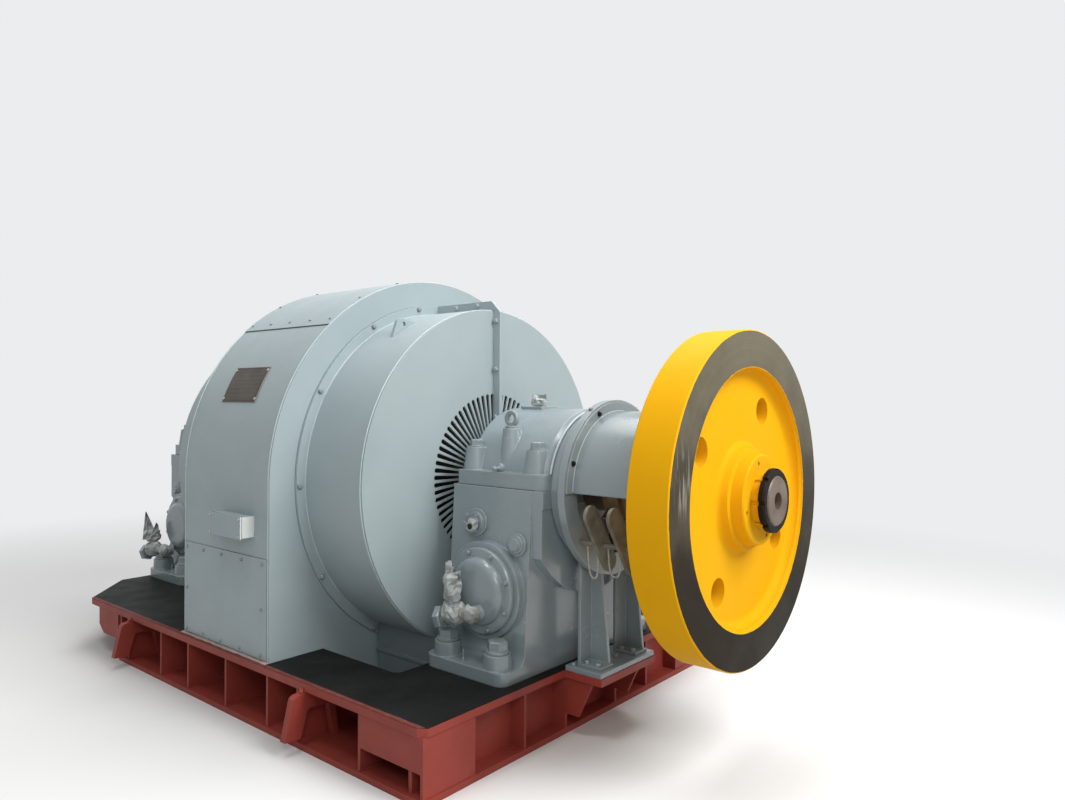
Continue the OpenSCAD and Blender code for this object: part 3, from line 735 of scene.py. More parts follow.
class Finish(Enum):
    """Every finish of the machine."""

    HOUSING = Coating("housing paint", *HOUSING_GREY, blotches=0.6, roughness=0.40, dust=0.22, scuffs=0.08)
    DRUM = SlottedDrumPaint("drum paint", *HOUSING_GREY, blotches=0.6, roughness=0.40, dust=0.2, scuffs=0.06)
    BOX = LitEndBoxPaint("terminal box paint", *HOUSING_GREY, blotches=0.5, roughness=0.4, dust=0.2, scuffs=0.08)
    # painted shade: the housing grey made darker for the stator bed and the air boxes down in the pit
    SHADED_PIT = Coating("pit paint with painted shade", (0.20, 0.245, 0.262), (0.16, 0.20, 0.215), "housing_grey",
                  blotches=0.6, roughness=0.5, dust=0.35, scuffs=0.2)
    CASTING = Coating("bearing enamel", (0.245, 0.295, 0.313), (0.205, 0.252, 0.27), "bearing_grey",
                      blotches=0.7, peel_scale=45.0, bump=0.003, roughness=0.22, dust=0.08, scuffs=0.03,
                      edge_radius=0.009, edge_wear_and_highlight=0.3, coat=0.35)
    # painted highlight: a paler copy of the housing grey, so that weld beads and fillets show as bright lines
    LIT_BEAD = Coating("bead paint with painted highlight", (0.50, 0.575, 0.59), (0.42, 0.49, 0.505), "housing_grey",
                   blotches=0.7, roughness=0.3, dust=0.1, scuffs=0.0, edge_wear_and_highlight=0.0)
    BASE = Coating("oxide paint", (0.30, 0.050, 0.036), (0.225, 0.037, 0.027), "base_red",
                   blotches=0.7, blotch_scale=3.0, roughness=0.48, dust=0.05,
                   dust_colour=(0.30, 0.17, 0.14), scuffs=0.4, bare=(0.33, 0.13, 0.10),
                   edge_radius=0.0016, edge_wear_and_highlight=0.15, edge_wear_and_highlight_colour=(0.38, 0.11, 0.085), specular=0.25)
    DECK = SheetPaint("deck sheet", (0.0065, 0.0070, 0.0065), (0.012, 0.013, 0.012), "deck_black",
                      blotches=0.8, blotch_scale=2.5, roughness=0.55, dust=0.07,
                      dust_colour=(0.085, 0.085, 0.075), scuffs=0.5, scuff_scale=7.0,
                      bare=(0.04, 0.04, 0.036), edge_wear_and_highlight=0.0, specular=0.08)
    WHEEL = WheelPaint("wheel paint", (0.80, 0.405, 0.007), (0.73, 0.355, 0.006), "wheel_yellow",
                       blotches=0.35, roughness=0.44, dust=0.03, dust_colour=(0.6, 0.42, 0.16),
                       scuffs=0.05, bare=(0.5, 0.3, 0.05), edge_wear_and_highlight=0.3,
                       edge_wear_and_highlight_colour=(0.85, 0.50, 0.03), specular=0.02)
    YELLOW = Coating("yellow enamel", (0.80, 0.405, 0.007), (0.72, 0.35, 0.006), "wheel_yellow",
                     blotches=0.4, roughness=0.36, dust=0.06, scuffs=0.2, bare=(0.35, 0.2, 0.04),
                     edge_wear_and_highlight_colour=(0.85, 0.50, 0.03), specular=0.07)
    SHAFT = TurnedSteel("shaft steel", (0.175, 0.128, 0.092), (0.10, 0.072, 0.052), "shaft_steel")
    NUT = Coating("blackened steel", (0.012, 0.010, 0.009), (0.022, 0.018, 0.015), "nut_black",
                  roughness=0.5, dust=0.03, dust_colour=(0.10, 0.085, 0.065), scuffs=0.15,
                  bare=(0.06, 0.052, 0.044), edge_wear_and_highlight_colour=(0.07, 0.062, 0.054), specular=0.05)
    RINGS = TurnedSteel("slip ring bronze", (0.40, 0.27, 0.15), (0.26, 0.17, 0.09), "ring_bronze", 0.3)
    BRONZE = NameplateBronze("dark bronze", (0.045, 0.034, 0.025), (0.072, 0.056, 0.042), "plate_bronze",
                             blotches=0.8, blotch_scale=9.0, roughness=0.35, metallic=0.5, dust=0.1,
                             scuffs=0.3, bare=(0.24, 0.20, 0.155), edge_wear_and_highlight=0.0)
    BRIGHT = Coating("bright screws", (0.52, 0.50, 0.46), (0.40, 0.38, 0.34), "shaft_steel",
                     roughness=0.3, metallic=0.85, dust=0.1, scuffs=0.1, edge_wear_and_highlight=0.0)
    HOLDER = Coating("holder bronze", (0.215, 0.205, 0.155), (0.12, 0.11, 0.08), "holder_olive",
                     blotches=0.9, blotch_scale=12.0, roughness=0.5, metallic=0.2, dust=0.35, scuffs=0.5,
                     bare=(0.34, 0.30, 0.2), edge_wear_and_highlight_colour=(0.40, 0.36, 0.25), edge_radius=0.002)
    CARBON = Coating("brush box", (0.060, 0.026, 0.018), (0.032, 0.016, 0.013), "nut_black",
                     blotches=0.8, blotch_scale=20.0, roughness=0.4, dust=0.2, scuffs=0.3,
                     bare=(0.3, 0.17, 0.09), edge_wear_and_highlight_colour=(0.2, 0.1, 0.06))
    COPPER = Coating("bright copper", (0.62, 0.32, 0.18), (0.48, 0.22, 0.11), "ring_bronze",
                     blotches=0.7, blotch_scale=30.0, roughness=0.3, metallic=0.9, dust=0.1, scuffs=0.2,
                     bare=(0.7, 0.5, 0.35), edge_wear_and_highlight=0.0)
    BRAID = Coating("braided lead", (0.42, 0.41, 0.36), (0.29, 0.275, 0.23), "ring_bronze",
                    blotches=0.8, blotch_scale=60.0, peel_scale=500.0, bump=0.002, roughness=0.5,
                    metallic=0.3, dust=0.3, scuffs=0.0, edge_wear_and_highlight=0.0)
    FILM = Coating("wrapping film", (0.40, 0.425, 0.415), (0.235, 0.26, 0.255), "bearing_grey",
                   blotches=0.9, blotch_scale=16.0, peel_scale=60.0, bump=0.006, roughness=0.3,
                   dust=0.12, scuffs=0.25, scuff_scale=30.0, bare=(0.27, 0.26, 0.22), edge_wear_and_highlight=0.0)
    TAPE = Coating("wrapping tape", (0.33, 0.325, 0.28), (0.22, 0.225, 0.195), "bearing_grey",
                   blotches=0.8, blotch_scale=20.0, roughness=0.45, dust=0.3, scuffs=0.2, scuff_scale=25.0,
                   bare=(0.55, 0.5, 0.4), edge_wear_and_highlight=0.0)
    GASKET = Coating("dark joint", (0.010, 0.010, 0.011), (0.016, 0.016, 0.017), "nut_black",
                     roughness=0.6, dust=0.15, scuffs=0.1, bare=(0.05, 0.05, 0.05), edge_wear_and_highlight=0.0,
                     specular=0.2)
    SEALANT = Coating("pale sealant", (0.40, 0.30, 0.26), (0.30, 0.20, 0.17), "base_red",
                      blotches=0.9, blotch_scale=12.0, bump=0.004, roughness=0.6, dust=0.5,
                      scuffs=0.5, scuff_scale=20.0, bare=(0.16, 0.06, 0.05), edge_wear_and_highlight=0.0)


FINISH_NODES: dict[Finish, tuple[str, ...]] = {
    Finish.BASE: ("base_side_beams", "base_end_beams", "base_pit_girders", "base_cross_members",
                  "base_jacking_lugs", "base_end_plates", "base_side_plates", "brush_shelf"),
    Finish.DECK: ("deck_sheet",),
    Finish.SHADED_PIT: ("stator_bed", "air_boxes"),
    Finish.HOUSING: ("housing_casing", "housing_front_plate", "housing_rear_plate", "side_panels",
                     "roof_panel", "drum_rings", "drum_joint_flanges", "drum_lifting_plates",
                     "front_vent_face", "rear_vent_face"),
    Finish.BOX: ("terminal_box",),
    Finish.DRUM: ("front_drum", "rear_drum"),
    Finish.BRONZE: ("nameplate",),
    Finish.SHAFT: ("shaft",),
    Finish.WHEEL: ("flywheel",),
    Finish.YELLOW: ("shaft_collar",),
    Finish.NUT: ("lock_nut",),
    Finish.RINGS: ("slip_rings",),
    Finish.HOLDER: ("brush_holders",),
}


def dress_nodes(nodes: dict[str, bpy.types.Object]) -> None:
    """Gives every carried-over node its finish, which is bearing enamel where no other is named.

    Args:
        nodes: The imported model's nodes by name.
    """
    finishes = {name: finish for finish, names in FINISH_NODES.items() for name in names}
    for name, node in nodes.items():
        material = finishes.get(name, Finish.CASTING).value.make()
        if not node.material_slots:
            node.data.materials.append(material)
        for slot in node.material_slots:
            slot.material = material


def show(name: str, data: Any) -> bpy.types.Object:
    """Adds an object to the scene.

    Args:
        name: The object's name.
        data: Its mesh, lamp or camera.

    Returns:
        The object.
    """
    made = bpy.data.objects.new(name, data)
    bpy.context.scene.collection.objects.link(made)
    return made


def finish_piece(piece: bpy.types.Object, finish: Finish) -> bpy.types.Object:
    """Gives a new piece its material and its body.

    Args:
        piece: The piece, with its place in its mesh.
        finish: What it is made of.

    Returns:
        The piece.
    """
    if not piece.data.materials:
        piece.data.materials.append(finish.value.make())
    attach(piece, FRAME)
    log.info("%s: %d faces on %s", piece.name, len(piece.data.polygons), FRAME)
    return piece


def mirrored(vector: Vector, axis: int) -> Vector:
    """Mirrors a place or a direction.

    Args:
        vector: What to mirror.
        axis: The axis of the row frame that changes its sign.

    Returns:
        Its mirror image.
    """
    image = vector.copy()
    image[axis] = -image[axis]
    return image


@dataclass(frozen=True)
class Seat:
    """Where one fastener sits and the way its head faces."""

    place: Vector
    facing: Vector

    @staticmethod
    def radial(x: float, radius: float, degrees: float) -> Seat:
        """Returns a seat that faces away from the shaft axis."""
        place = M.on_axis(x, radius, degrees)
        return Seat(place, Vector((0, place.y, place.z - M.shaft_z)))


def on_both(seats: Sequence[Seat], axis: int) -> list[Seat]:
    """Returns seats and their mirror images across one axis of the row frame."""
    return [*seats, *(Seat(mirrored(s.place, axis), mirrored(s.facing, axis)) for s in seats)]


@dataclass(frozen=True)
class Path:
    """A line of points that a run follows."""

    points: tuple[Vector, ...]
    closed: bool = False

    @staticmethod
    def arc(x: float, radius: float, start: float, end: float, steps: int = 64) -> Path:
        """Returns an arc round the shaft axis, closed where it goes right round.

        Args:
            x: Distance along the shaft.
            radius: Distance from the shaft axis.
            start: First angle in degrees, from the far side and upwards.
            end: Last angle.
            steps: Number of its stretches.

        Returns:
            The path.
        """
        whole = abs(end - start) >= 360
        angles = (start + (end - start) * i / steps for i in range(steps if whole else steps + 1))
        return Path(tuple(M.on_axis(x, radius, angle) for angle in angles), whole)

    @staticmethod
    def rectangle(y: float, low: tuple[float, float], high: tuple[float, float]) -> Path:
        """Returns an upright rectangle along the shaft, from its lowest to its highest X and Z."""
        corners = (low, (high[0], low[1]), high, (low[0], high[1]))
        return Path(tuple(Vector((x, y, z)) for x, z in corners), True)

    def both(self, axis: int) -> tuple[Path, Path]:
        """Returns the path and its mirror image across one axis of the row frame."""
        return self, Path(tuple(mirrored(p, axis) for p in self.points), self.closed)


class Pattern:
    """A form that Geometry Nodes put on the points of a mesh, or sweep along its edges."""

    def fill(self, tree: Tree, given: dict[str, Value]) -> Value:
        """Builds the form.

        Args:
            tree: The tree to fill.
            given: What its named inputs give.

        Returns:
            The geometry that it makes.
        """
        raise NotImplementedError

    def grow(self, name: str, mesh: bpy.types.Mesh, sizes: dict[str, float],
             finish: Finish) -> bpy.types.Object:
        """Makes one plain piece of the form.

        Args:
            name: The piece's name.
            mesh: The points or edges.
            sizes: The tree's named inputs and their values.
            finish: What the piece is made of.

        Returns:
            The finished piece.
        """
        group = bpy.data.node_groups.new(name, "GeometryNodeTree")
        face = group.interface
        face.new_socket("Geometry", in_out="INPUT", socket_type="NodeSocketGeometry")
        keys = {label: face.new_socket(label, in_out="INPUT", socket_type="NodeSocketFloat").identifier
                for label in sizes}
        face.new_socket("Geometry", in_out="OUTPUT", socket_type="NodeSocketGeometry")
        tree = Tree(group)
        real = tree.get("GeometryNodeRealizeInstances", {0: self.fill(tree, tree.given())})
        paint = tree.get("GeometryNodeSetMaterial", {"Geometry": real, "Material": finish.value.make()})
        tree.add("NodeGroupOutput", {0: paint})
        carrier = show(name + "_carrier", mesh)
        modifier = carrier.modifiers.new("form", "NODES")
        modifier.node_group = group
        for label, size in sizes.items():
            modifier[keys[label]] = size
        return finish_piece(self._bake(carrier, name), finish)

    @staticmethod
    def _bake(carrier: bpy.types.Object, name: str) -> bpy.types.Object:
        """Turns an object with a Geometry Nodes modifier into a plain mesh object.

        Args:
            carrier: The object that holds the modifier, which is removed.
            name: The new object's name.

        Returns:
            The new object, at the origin.
        """
        bpy.context.view_layer.update()
        graph = bpy.context.evaluated_depsgraph_get()
        mesh = bpy.data.meshes.new_from_object(carrier.evaluated_get(graph))
        mesh.name = name
        while mesh.attributes.get("facing"):
            mesh.attributes.remove(mesh.attributes["facing"])
        bpy.data.objects.remove(carrier)
        return show(name, mesh)


class Head(Enum):
    """Kinds of bolt head: number of corners, and the crown's width as a share of the head's."""

    HEX = (6, 0.84)
    PAN = (16, 0.7)


@dataclass(frozen=True)
class Fastener(Pattern):
    """One size of bolt or screw, with a washer where that has a radius."""

    head: Head
    radius: float
    height: float
    washer_radius: float = 0.0
    washer_height: float = 0.0
    side_share: float = 0.82
    washer_sides: int = 24
    seed: int = 7

    def fill(self, tree: Tree, given: dict[str, Value]) -> Value:
        """Puts a head on every point, turned by chance about the way that it faces.

        Args:
            tree: The tree to fill.
            given: What its named inputs give.

        Returns:
            The heads.
        """
        radius, height = given["Head Radius"], given["Head Height"]
        washer, lift = given["Washer Radius"], given["Washer Height"]
        corners, narrow = self.head.value
        side, crown = height * self.side_share, height * (1 - self.side_share)
        parts = [self._prism(tree, corners, radius, radius, side, lift),
                 self._prism(tree, corners, radius, radius * narrow, crown, lift + side)]
        if self.washer_radius:
            parts.append(self._prism(tree, self.washer_sides, washer, washer, lift, 0.0))
        join = tree.add("GeometryNodeJoinGeometry")
        for part in parts:
            tree.feed(join, {0: part})
        facing = tree.get("GeometryNodeInputNamedAttribute", {"Name": "facing"}, "Attribute",
                          data_type="FLOAT_VECTOR")
        stand = tree.get("FunctionNodeAlignRotationToVector", {"Vector": facing}, axis="Z")
        chance = tree.get("FunctionNodeRandomValue", {2: 0.0, 3: math.tau, "Seed": self.seed}, 1,
                          data_type="FLOAT")
        about = tree.get("FunctionNodeAxisAngleToRotation", {"Axis": UP, "Angle": chance})
        turn = tree.get("FunctionNodeRotateRotation", {"Rotation": stand, "Rotate By": about},
                        rotation_space="LOCAL")
        return tree.get("GeometryNodeInstanceOnPoints",
                        {"Points": given["Geometry"], "Instance": join.outputs[0], "Rotation": turn})

    @staticmethod
    def _prism(tree: Tree, sides: int, low: Value, high: Value, depth: Value, lift: Any) -> Value:
        """Adds a prism or a cone that stands on the seat.

        Args:
            tree: The tree to fill.
            sides: Number of its corners.
            low: Radius at its foot.
            high: Radius at its top.
            depth: Its height.
            lift: Height of its foot over the seat.

        Returns:
            Its mesh.
        """
        cone = tree.get("GeometryNodeMeshCone", {"Vertices": sides, "Radius Bottom": low, "Radius Top": high,
                                                 "Depth": depth}, "Mesh", fill_type="NGON")
        offset = tree.get("ShaderNodeCombineXYZ", {2: lift})
        return tree.get("GeometryNodeTransform", {"Geometry": cone, "Translation": offset})

    def put_on(self, name: str, seats: Sequence[Seat], finish: Finish) -> bpy.types.Object:
        """Makes one piece of all the fasteners of a row.

        Args:
            name: The piece's name.
            seats: Where they sit.
            finish: What they are made of.

        Returns:
            The finished piece.
        """
        mesh = bpy.data.meshes.new(name + "_seats")
        mesh.from_pydata([tuple(s.place) for s in seats], [], [])
        facing = mesh.attributes.new("facing", "FLOAT_VECTOR", "POINT")
        facing.data.foreach_set("vector", [v for s in seats for v in s.facing.normalized()])
        sizes = {"Head Radius": self.radius, "Head Height": self.height,
                 "Washer Radius": self.washer_radius, "Washer Height": self.washer_height}
        return self.grow(name, mesh, sizes, finish)


@dataclass(frozen=True)
class Run(Pattern):
    """A round bead, joint or rod that follows paths, where closed paths are rings.

    The ripple is how far a weld bead's skin wanders from its line, and the step is the length
    of its stretches where they are made even.
    """

    radius: float
    ripple: float = 0.0
    step: float = 0.0
    sides: int = 8
    ripple_scale: float = 170.0

    def fill(self, tree: Tree, given: dict[str, Value]) -> Value:
        """Sweeps a round section along every chain of edges.

        Args:
            tree: The tree to fill.
            given: What its named inputs give.

        Returns:
            The runs.
        """
        line = tree.get("GeometryNodeMeshToCurve", {"Mesh": given["Geometry"]})
        if self.step:
            line = tree.get("GeometryNodeResampleCurve", {"Curve": line, "Length": given["Step"]},
                            mode="LENGTH")
        section = tree.get("GeometryNodeCurvePrimitiveCircle",
                           {"Resolution": self.sides, "Radius": given["Radius"]})
        skin = tree.get("GeometryNodeCurveToMesh",
                        {"Curve": line, "Profile Curve": section, "Fill Caps": True})
        if self.ripple:
            place = tree.get("GeometryNodeInputPosition")
            wander = tree.get("ShaderNodeTexNoise", {"Vector": place, "Scale": self.ripple_scale}, "Color",
                              noise_dimensions="3D")
            shift = tree.get("ShaderNodeVectorMath", {0: wander, 1: (0.5, 0.5, 0.5)}, operation="SUBTRACT")
            shift = tree.get("ShaderNodeVectorMath", {0: shift, "Scale": given["Ripple"]}, operation="SCALE")
            skin = tree.get("GeometryNodeSetPosition", {"Geometry": skin, "Offset": shift})
        return skin

    def put_on(self, name: str, paths: Iterable[Path], finish: Finish) -> bpy.types.Object:
        """Makes one piece of all the runs.

        Args:
            name: The piece's name.
            paths: The lines that they follow.
            finish: What they are made of.

        Returns:
            The finished piece.
        """
        points: list[tuple[float, ...]] = []
        edges: list[tuple[int, int]] = []
        for path in paths:
            first = len(points)
            points += [tuple(p) for p in path.points]
            edges += [(i, i + 1) for i in range(first, len(points) - 1)]
            if path.closed:
                edges.append((len(points) - 1, first))
        mesh = bpy.data.meshes.new(name + "_lines")
        mesh.from_pydata(points, edges, [])
        sizes = {"Radius": self.radius, "Ripple": self.ripple, "Step": self.step}
        return self.grow(name, mesh, sizes, finish)


class Form:
    """A piece that is put together from turned and boxed forms, then made one mesh."""

    def __init__(self, name: str) -> None:
        """Starts with an empty mesh."""
        self.name = name
        self.mesh = bmesh.new()

    def strip(self, low: Sequence[bmesh.types.BMVert], high: Sequence[bmesh.types.BMVert],
              closed: bool = False) -> None:
        """Adds the faces between two rows of corners.

        Args:
            low: The first row.
            high: The second row.
            closed: Whether each row is a ring.
        """
        for i in range(len(low) if closed else len(low) - 1):
            j = (i + 1) % len(low)
            self.mesh.faces.new((low[i], low[j], high[j], high[i]))

    def turned(self, start: Vector, axis: Vector, profile: Profile, sides: int = 24,
               crumple: float = 0.0, squash: float = 1.0) -> None:
        """Adds a form of revolution, with its two ends closed.

        Args:
            start: Where its axis starts.
            axis: The axis's direction.
            profile: Places along the axis and their radii, from one end to the other.
            sides: Number of its sides.
            crumple: How far folds push the skin in and out.
            squash: Width across the second side direction, as a share of the first.
        """
        ahead = axis.normalized()
        aside = ahead.orthogonal().normalized()
        other = ahead.cross(aside)
        rings = []
        for along, radius in profile:
            ring = []
            for i in range(sides):
                turn = math.tau * i / sides
                out = aside * math.cos(turn) + other * math.sin(turn) * squash
                point = start + ahead * along + out * radius
                if crumple:
                    fold = 0.5 - noise.turbulence(point * 20.0, 3, True, noise_basis="BLENDER")
                    shift = Vector((noise.noise(point * 30.0), noise.noise(point * 30.0 + ahead * 7), 0))
                    point = point + out.normalized() * crumple * 1.3 * fold + shift * crumple * 0.5
                ring.append(self.mesh.verts.new(point))
            rings.append(ring)
        for low, high in zip(rings, rings[1:]):
            self.strip(low, high, closed=True)
        self.mesh.faces.new(list(reversed(rings[0])))
        self.mesh.faces.new(rings[-1])

    def block(self, low: Sequence[float], high: Sequence[float], chamfer: float,
              place: Matrix | None = None) -> None:
        """Adds a block with chamfered edges.

        Args:
            low: Its lowest corner.
            high: Its highest corner.
            chamfer: Width of the chamfers.
            place: Where it goes, if its corners aren't in the row frame.
        """
        made = bmesh.ops.create_cube(self.mesh, size=1.0)["verts"]
        centre = (Vector(low) + Vector(high)) / 2
        size = Vector(high) - Vector(low)
        for vert in made:
            vert.co = Vector(a * b for a, b in zip(vert.co, size)) + centre
            if place:
                vert.co = place @ vert.co
        edges = {e for v in made for e in v.link_edges}
        bmesh.ops.bevel(self.mesh, geom=list(edges), offset=chamfer, segments=2, affect="EDGES", profile=0.5)

    def leaf(self, foot: Vector, up: Vector, across: Vector, height: float, width: float,
             tip: float = 0.15) -> None:
        """Adds a thin folded leaf of film.

        Args:
            foot: The middle of its foot.
            up: The way it stands.
            across: The way that it is wide.
            height: Its height.
            width: Its width at the foot.
            tip: Its width at the top, as a share of that at the foot.
        """
        up, across = up.normalized(), across.normalized()
        out = up.cross(across).normalized()
        half_t, rows = 0.0008, 8
        skins = []
        for skin in (-half_t, half_t):
            grid = []
            for i in range(rows + 1):
                share = i / rows
                half = width / 2 * (1 - (1 - tip) * share)
                middle = foot + up * height * share
                row = []
                for step in (-1.0, -0.45, 0.0, 0.45, 1.0):
                    base = middle + across * half * step
                    lift = 0.22 * width * (1 - abs(step)) + 0.018 * noise.noise(base * 30.0)
                    ragged = up * 0.012 * noise.noise(base * 55.0) * share
                    row.append(self.mesh.verts.new(base + out * (lift + skin) + ragged))
                grid.append(row)
            skins.append(grid)
        for grid in skins:
            for low, high in zip(grid, grid[1:]):
                self.strip(low, high)
        back, front = skins
        for end in (0, -1):
            self.strip([row[end] for row in back], [row[end] for row in front])
            self.strip(back[end], front[end])

    def piece(self, finish: Finish) -> bpy.types.Object:
        """Makes the piece, with flat faces that point outwards.

        Args:
            finish: What it is made of.

        Returns:
            The finished piece.
        """
        bmesh.ops.recalc_face_normals(self.mesh, faces=self.mesh.faces[:])
        for face in self.mesh.faces:
            face.smooth = False
        data = bpy.data.meshes.new(self.name)
        self.mesh.to_mesh(data)
        self.mesh.free()
        return finish_piece(show(self.name, data), finish)


def swelling(length: float, radius: float, rings: int, bulge: float, ends: float) -> Profile:
    """Returns the profile of a wrapping that bulges between its gathered ends.

    Args:
        length: Its length.
        radius: Its radius at the middle of a plain stretch.
        rings: Number of its rings.
        bulge: How much wider its middle is, as a share of the radius.
        ends: Radius at the gathered ends, as a share of the radius.

    Returns:
        Places along it and their radii.
    """
    profile = []
    for i in range(rings + 1):
        share = i / rings
        gathered = min(1.0, ends + (1 - ends) * min(share, 1 - share) * 7)
        profile.append((share * length, radius * gathered * (1 + bulge * math.sin(math.pi * share))))
    return profile


@dataclass
class Base:
    """Welds of the base frame: nubs on the jacking lugs and beads at the ribs' feet."""

    lug_faces: tuple[float, ...] = (-1.010, 0.790)
    lug_t: float = 0.040
    nub: Profile = ((0, 0.016), (0.006, 0.015), (0.012, 0.008))
    nub_crumple: float = 0.004
    rib_x: tuple[float, ...] = (-1.080, -0.651, -0.330, 0.071, 0.463, 0.720, 1.182)
    rib_t: float = 0.016
    rib_inset: float = 0.014
    foot_t: float = 0.028
    plate_low: float = 0.280
    pit_half_w: float = 0.815
    web_t: float = 0.020
    clear: float = 0.004
    bead: Run = Run(radius=0.0042, ripple=0.002, step=0.012, sides=6)
    bead_off: float = 0.0015

    def build(self) -> None:
        """Makes the welds."""
        nubs = Form("lug_weld_nubs")
        for x, side in product(self.lug_faces, SIDES):
            place = Vector((x - self.lug_t / 2, side * (M.base_hw + self.clear), self.plate_low - self.clear))
            nubs.turned(place, Vector((0, side, 0.2)), self.nub, 14, self.nub_crumple)
        nubs.piece(Finish.BASE)
        low, high = self.foot_t + self.bead_off, self.plate_low - self.clear
        beads = []
        for rib, face, side in product(self.rib_x, SIDES, SIDES):
            x = rib + face * (self.rib_t / 2 + self.bead_off)
            near = side * (M.base_hw - self.rib_inset)
            far = side * (self.pit_half_w + self.web_t + self.clear)
            line = ((near, low), (far, low), (far, high), (near, high))
            beads.append(Path(tuple(Vector((x, y, z)) for y, z in line)))
        self.bead.put_on("rib_welds", beads, Finish.BASE)


@dataclass
class Housing:
    """The arched housing: screws and joints of its panels, plate and box, weld beads and sealant."""

    panel_screws: tuple[tuple[float, tuple[float, ...]], ...] = (
        (0.806, (-0.390, -0.206, -0.020, 0.180, 0.372)),
        (0.578, (-0.388, 0.366)),
        (0.348, (-0.390, -0.207, -0.026, 0.164, 0.362)))
    roof_row: tuple[float, ...] = (-0.387, -0.194, -0.001, 0.194, 0.377)
    roof_edge_angle: float = 130.5
    roof_end_x: float = 0.39
    roof_end_angles: tuple[float, ...] = (119.0, 104.5, 75.5, 61.0)
    panel_screw: Fastener = Fastener(Head.PAN, radius=0.0085, height=0.006)
    plate_x: float = 0.155
    plate_angles: tuple[float, float] = (149.0, 157.7)
    plate_t: float = 0.004
    plate_screw: Fastener = Fastener(Head.PAN, radius=0.007, height=0.004)
    box_screw_inset: float = 0.014
    box_screw: Fastener = Fastener(Head.PAN, radius=0.0065, height=0.004)
    lid_t: float = 0.010
    lid_joint: Run = Run(radius=0.0009)
    panel_x: float = 0.412
    panel_low: float = 0.328
    panel_high: float = 0.833
    side_spread: float = 1.004
    roof_half_angle: float = 43.15
    joint_lift: float = 0.001
    panel_joint: Run = Run(radius=0.0011)
    weld_inset: float = 0.012
    weld_lift: float = 0.0008
    weld: Run = Run(radius=0.0032, ripple=0.0014, step=0.009, sides=6)
    sealant_w: float = 0.022
    sealant_h: float = 0.0035
    sealant_lip: float = 0.0004
    sealant_steps: int = 172

    def build(self) -> None:
        """Makes the housing's fasteners, joints, welds and sealant."""
        self.panel_fasteners()
        self.small_screws()
        self.joints()
        self.edge_welds()
        self.foot_sealant()

    def panel_fasteners(self) -> None:
        """Makes the screws of the side panels, and of the roof panel along its edges and its ends."""
        y = -(M.housing_r + M.panel_t)
        side = [Seat(Vector((x, y, z)), NEAR) for z, row in self.panel_screws for x in row]
        self.panel_screw.put_on("side_panel_screws", on_both(side, 1), Finish.CASTING)
        places = [*product(self.roof_row, (self.roof_edge_angle,)),
                  *product(self.roof_row, (180 - self.roof_edge_angle,)),
                  *product((-self.roof_end_x, self.roof_end_x), self.roof_end_angles)]
        roof = [Seat.radial(x, M.housing_r + M.panel_t, angle) for x, angle in places]
        self.panel_screw.put_on("roof_panel_screws", roof, Finish.CASTING)

    def small_screws(self) -> None:
        """Makes the four screws of the blank nameplate, and those of the terminal box's lid."""
        places = product((-self.plate_x, self.plate_x), self.plate_angles)
        plate = [Seat.radial(x, M.housing_r + self.plate_t, angle) for x, angle in places]
        self.plate_screw.put_on("nameplate_screws", plate, Finish.BRIGHT)
        low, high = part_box("terminal_box")
        inset = self.box_screw_inset
        lid = [Seat(Vector((x, low.y, z)), NEAR)
               for x, z in product((low.x + inset, high.x - inset), (low.z + inset, high.z - inset))]
        self.box_screw.put_on("terminal_box_screws", lid, Finish.BRIGHT)

    def joints(self) -> None:
        """Makes the dark joints round the side panels, the roof panel and the terminal box's lid."""
        radius = M.housing_r + self.joint_lift
        edge = self.panel_x * self.side_spread
        side = Path.rectangle(-radius, (-edge, self.panel_low), (edge, self.panel_high))
        low, high = 90 - self.roof_half_angle, 90 + self.roof_half_angle
        rear = Path.arc(-self.panel_x, radius, low, high, 40)
        front = Path.arc(self.panel_x, radius, high, low, 40)
        roof = Path(rear.points + front.points, True)
        self.panel_joint.put_on("housing_joints", [*side.both(1), roof], Finish.GASKET)
        low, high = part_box("terminal_box")
        lid = Path.rectangle(low.y + self.lid_t, (low.x, low.z), (high.x, high.z))
        self.lid_joint.put_on("terminal_box_joint", [lid], Finish.GASKET)

    def edge_welds(self) -> None:
        """Makes the weld beads along the end plates' edges, painted pale as a painted highlight."""
        x, radius = M.housing_hl - self.weld_inset, M.housing_r
        top = Path.arc(x, radius + self.weld_lift, 0, 180, 90).points
        line = Path((Vector((x, radius, M.base_h)), *top, Vector((x, -radius, M.base_h))))
        # the beads' pale colour is a painted highlight
        self.weld.put_on("end_plate_welds", line.both(0), Finish.LIT_BEAD)

    def foot_sealant(self) -> None:
        """Makes the pale, uneven strip of sealant along the housing's foot on both long sides."""
        form = Form("foot_sealant")
        lip = self.sealant_lip
        for side in SIDES:
            rows = []
            for i in range(self.sealant_steps + 1):
                x = -M.housing_hl + 2 * M.housing_hl * i / self.sealant_steps
                reach = self.sealant_w + 0.005 * noise.noise(Vector((x * 14, side * 3.0, 0)))
                reach += 0.002 * noise.noise(Vector((x * 70, side, 2)))
                height = self.sealant_h + 0.0012 * noise.noise(Vector((x * 45, side, 5)))
                section = ((0.0, height + 0.001), (reach * 0.5, height), (reach, lip), (reach, -lip),
                           (0.0, -lip))
                rows.append([form.mesh.verts.new(Vector((x, side * (M.housing_r + out), M.base_h + up)))
                             for out, up in section])
            for low, high in zip(rows, rows[1:]):
                form.strip(low, high, closed=True)
            form.mesh.faces.new(rows[0])
            form.mesh.faces.new(rows[-1])
        form.piece(Finish.SEALANT)


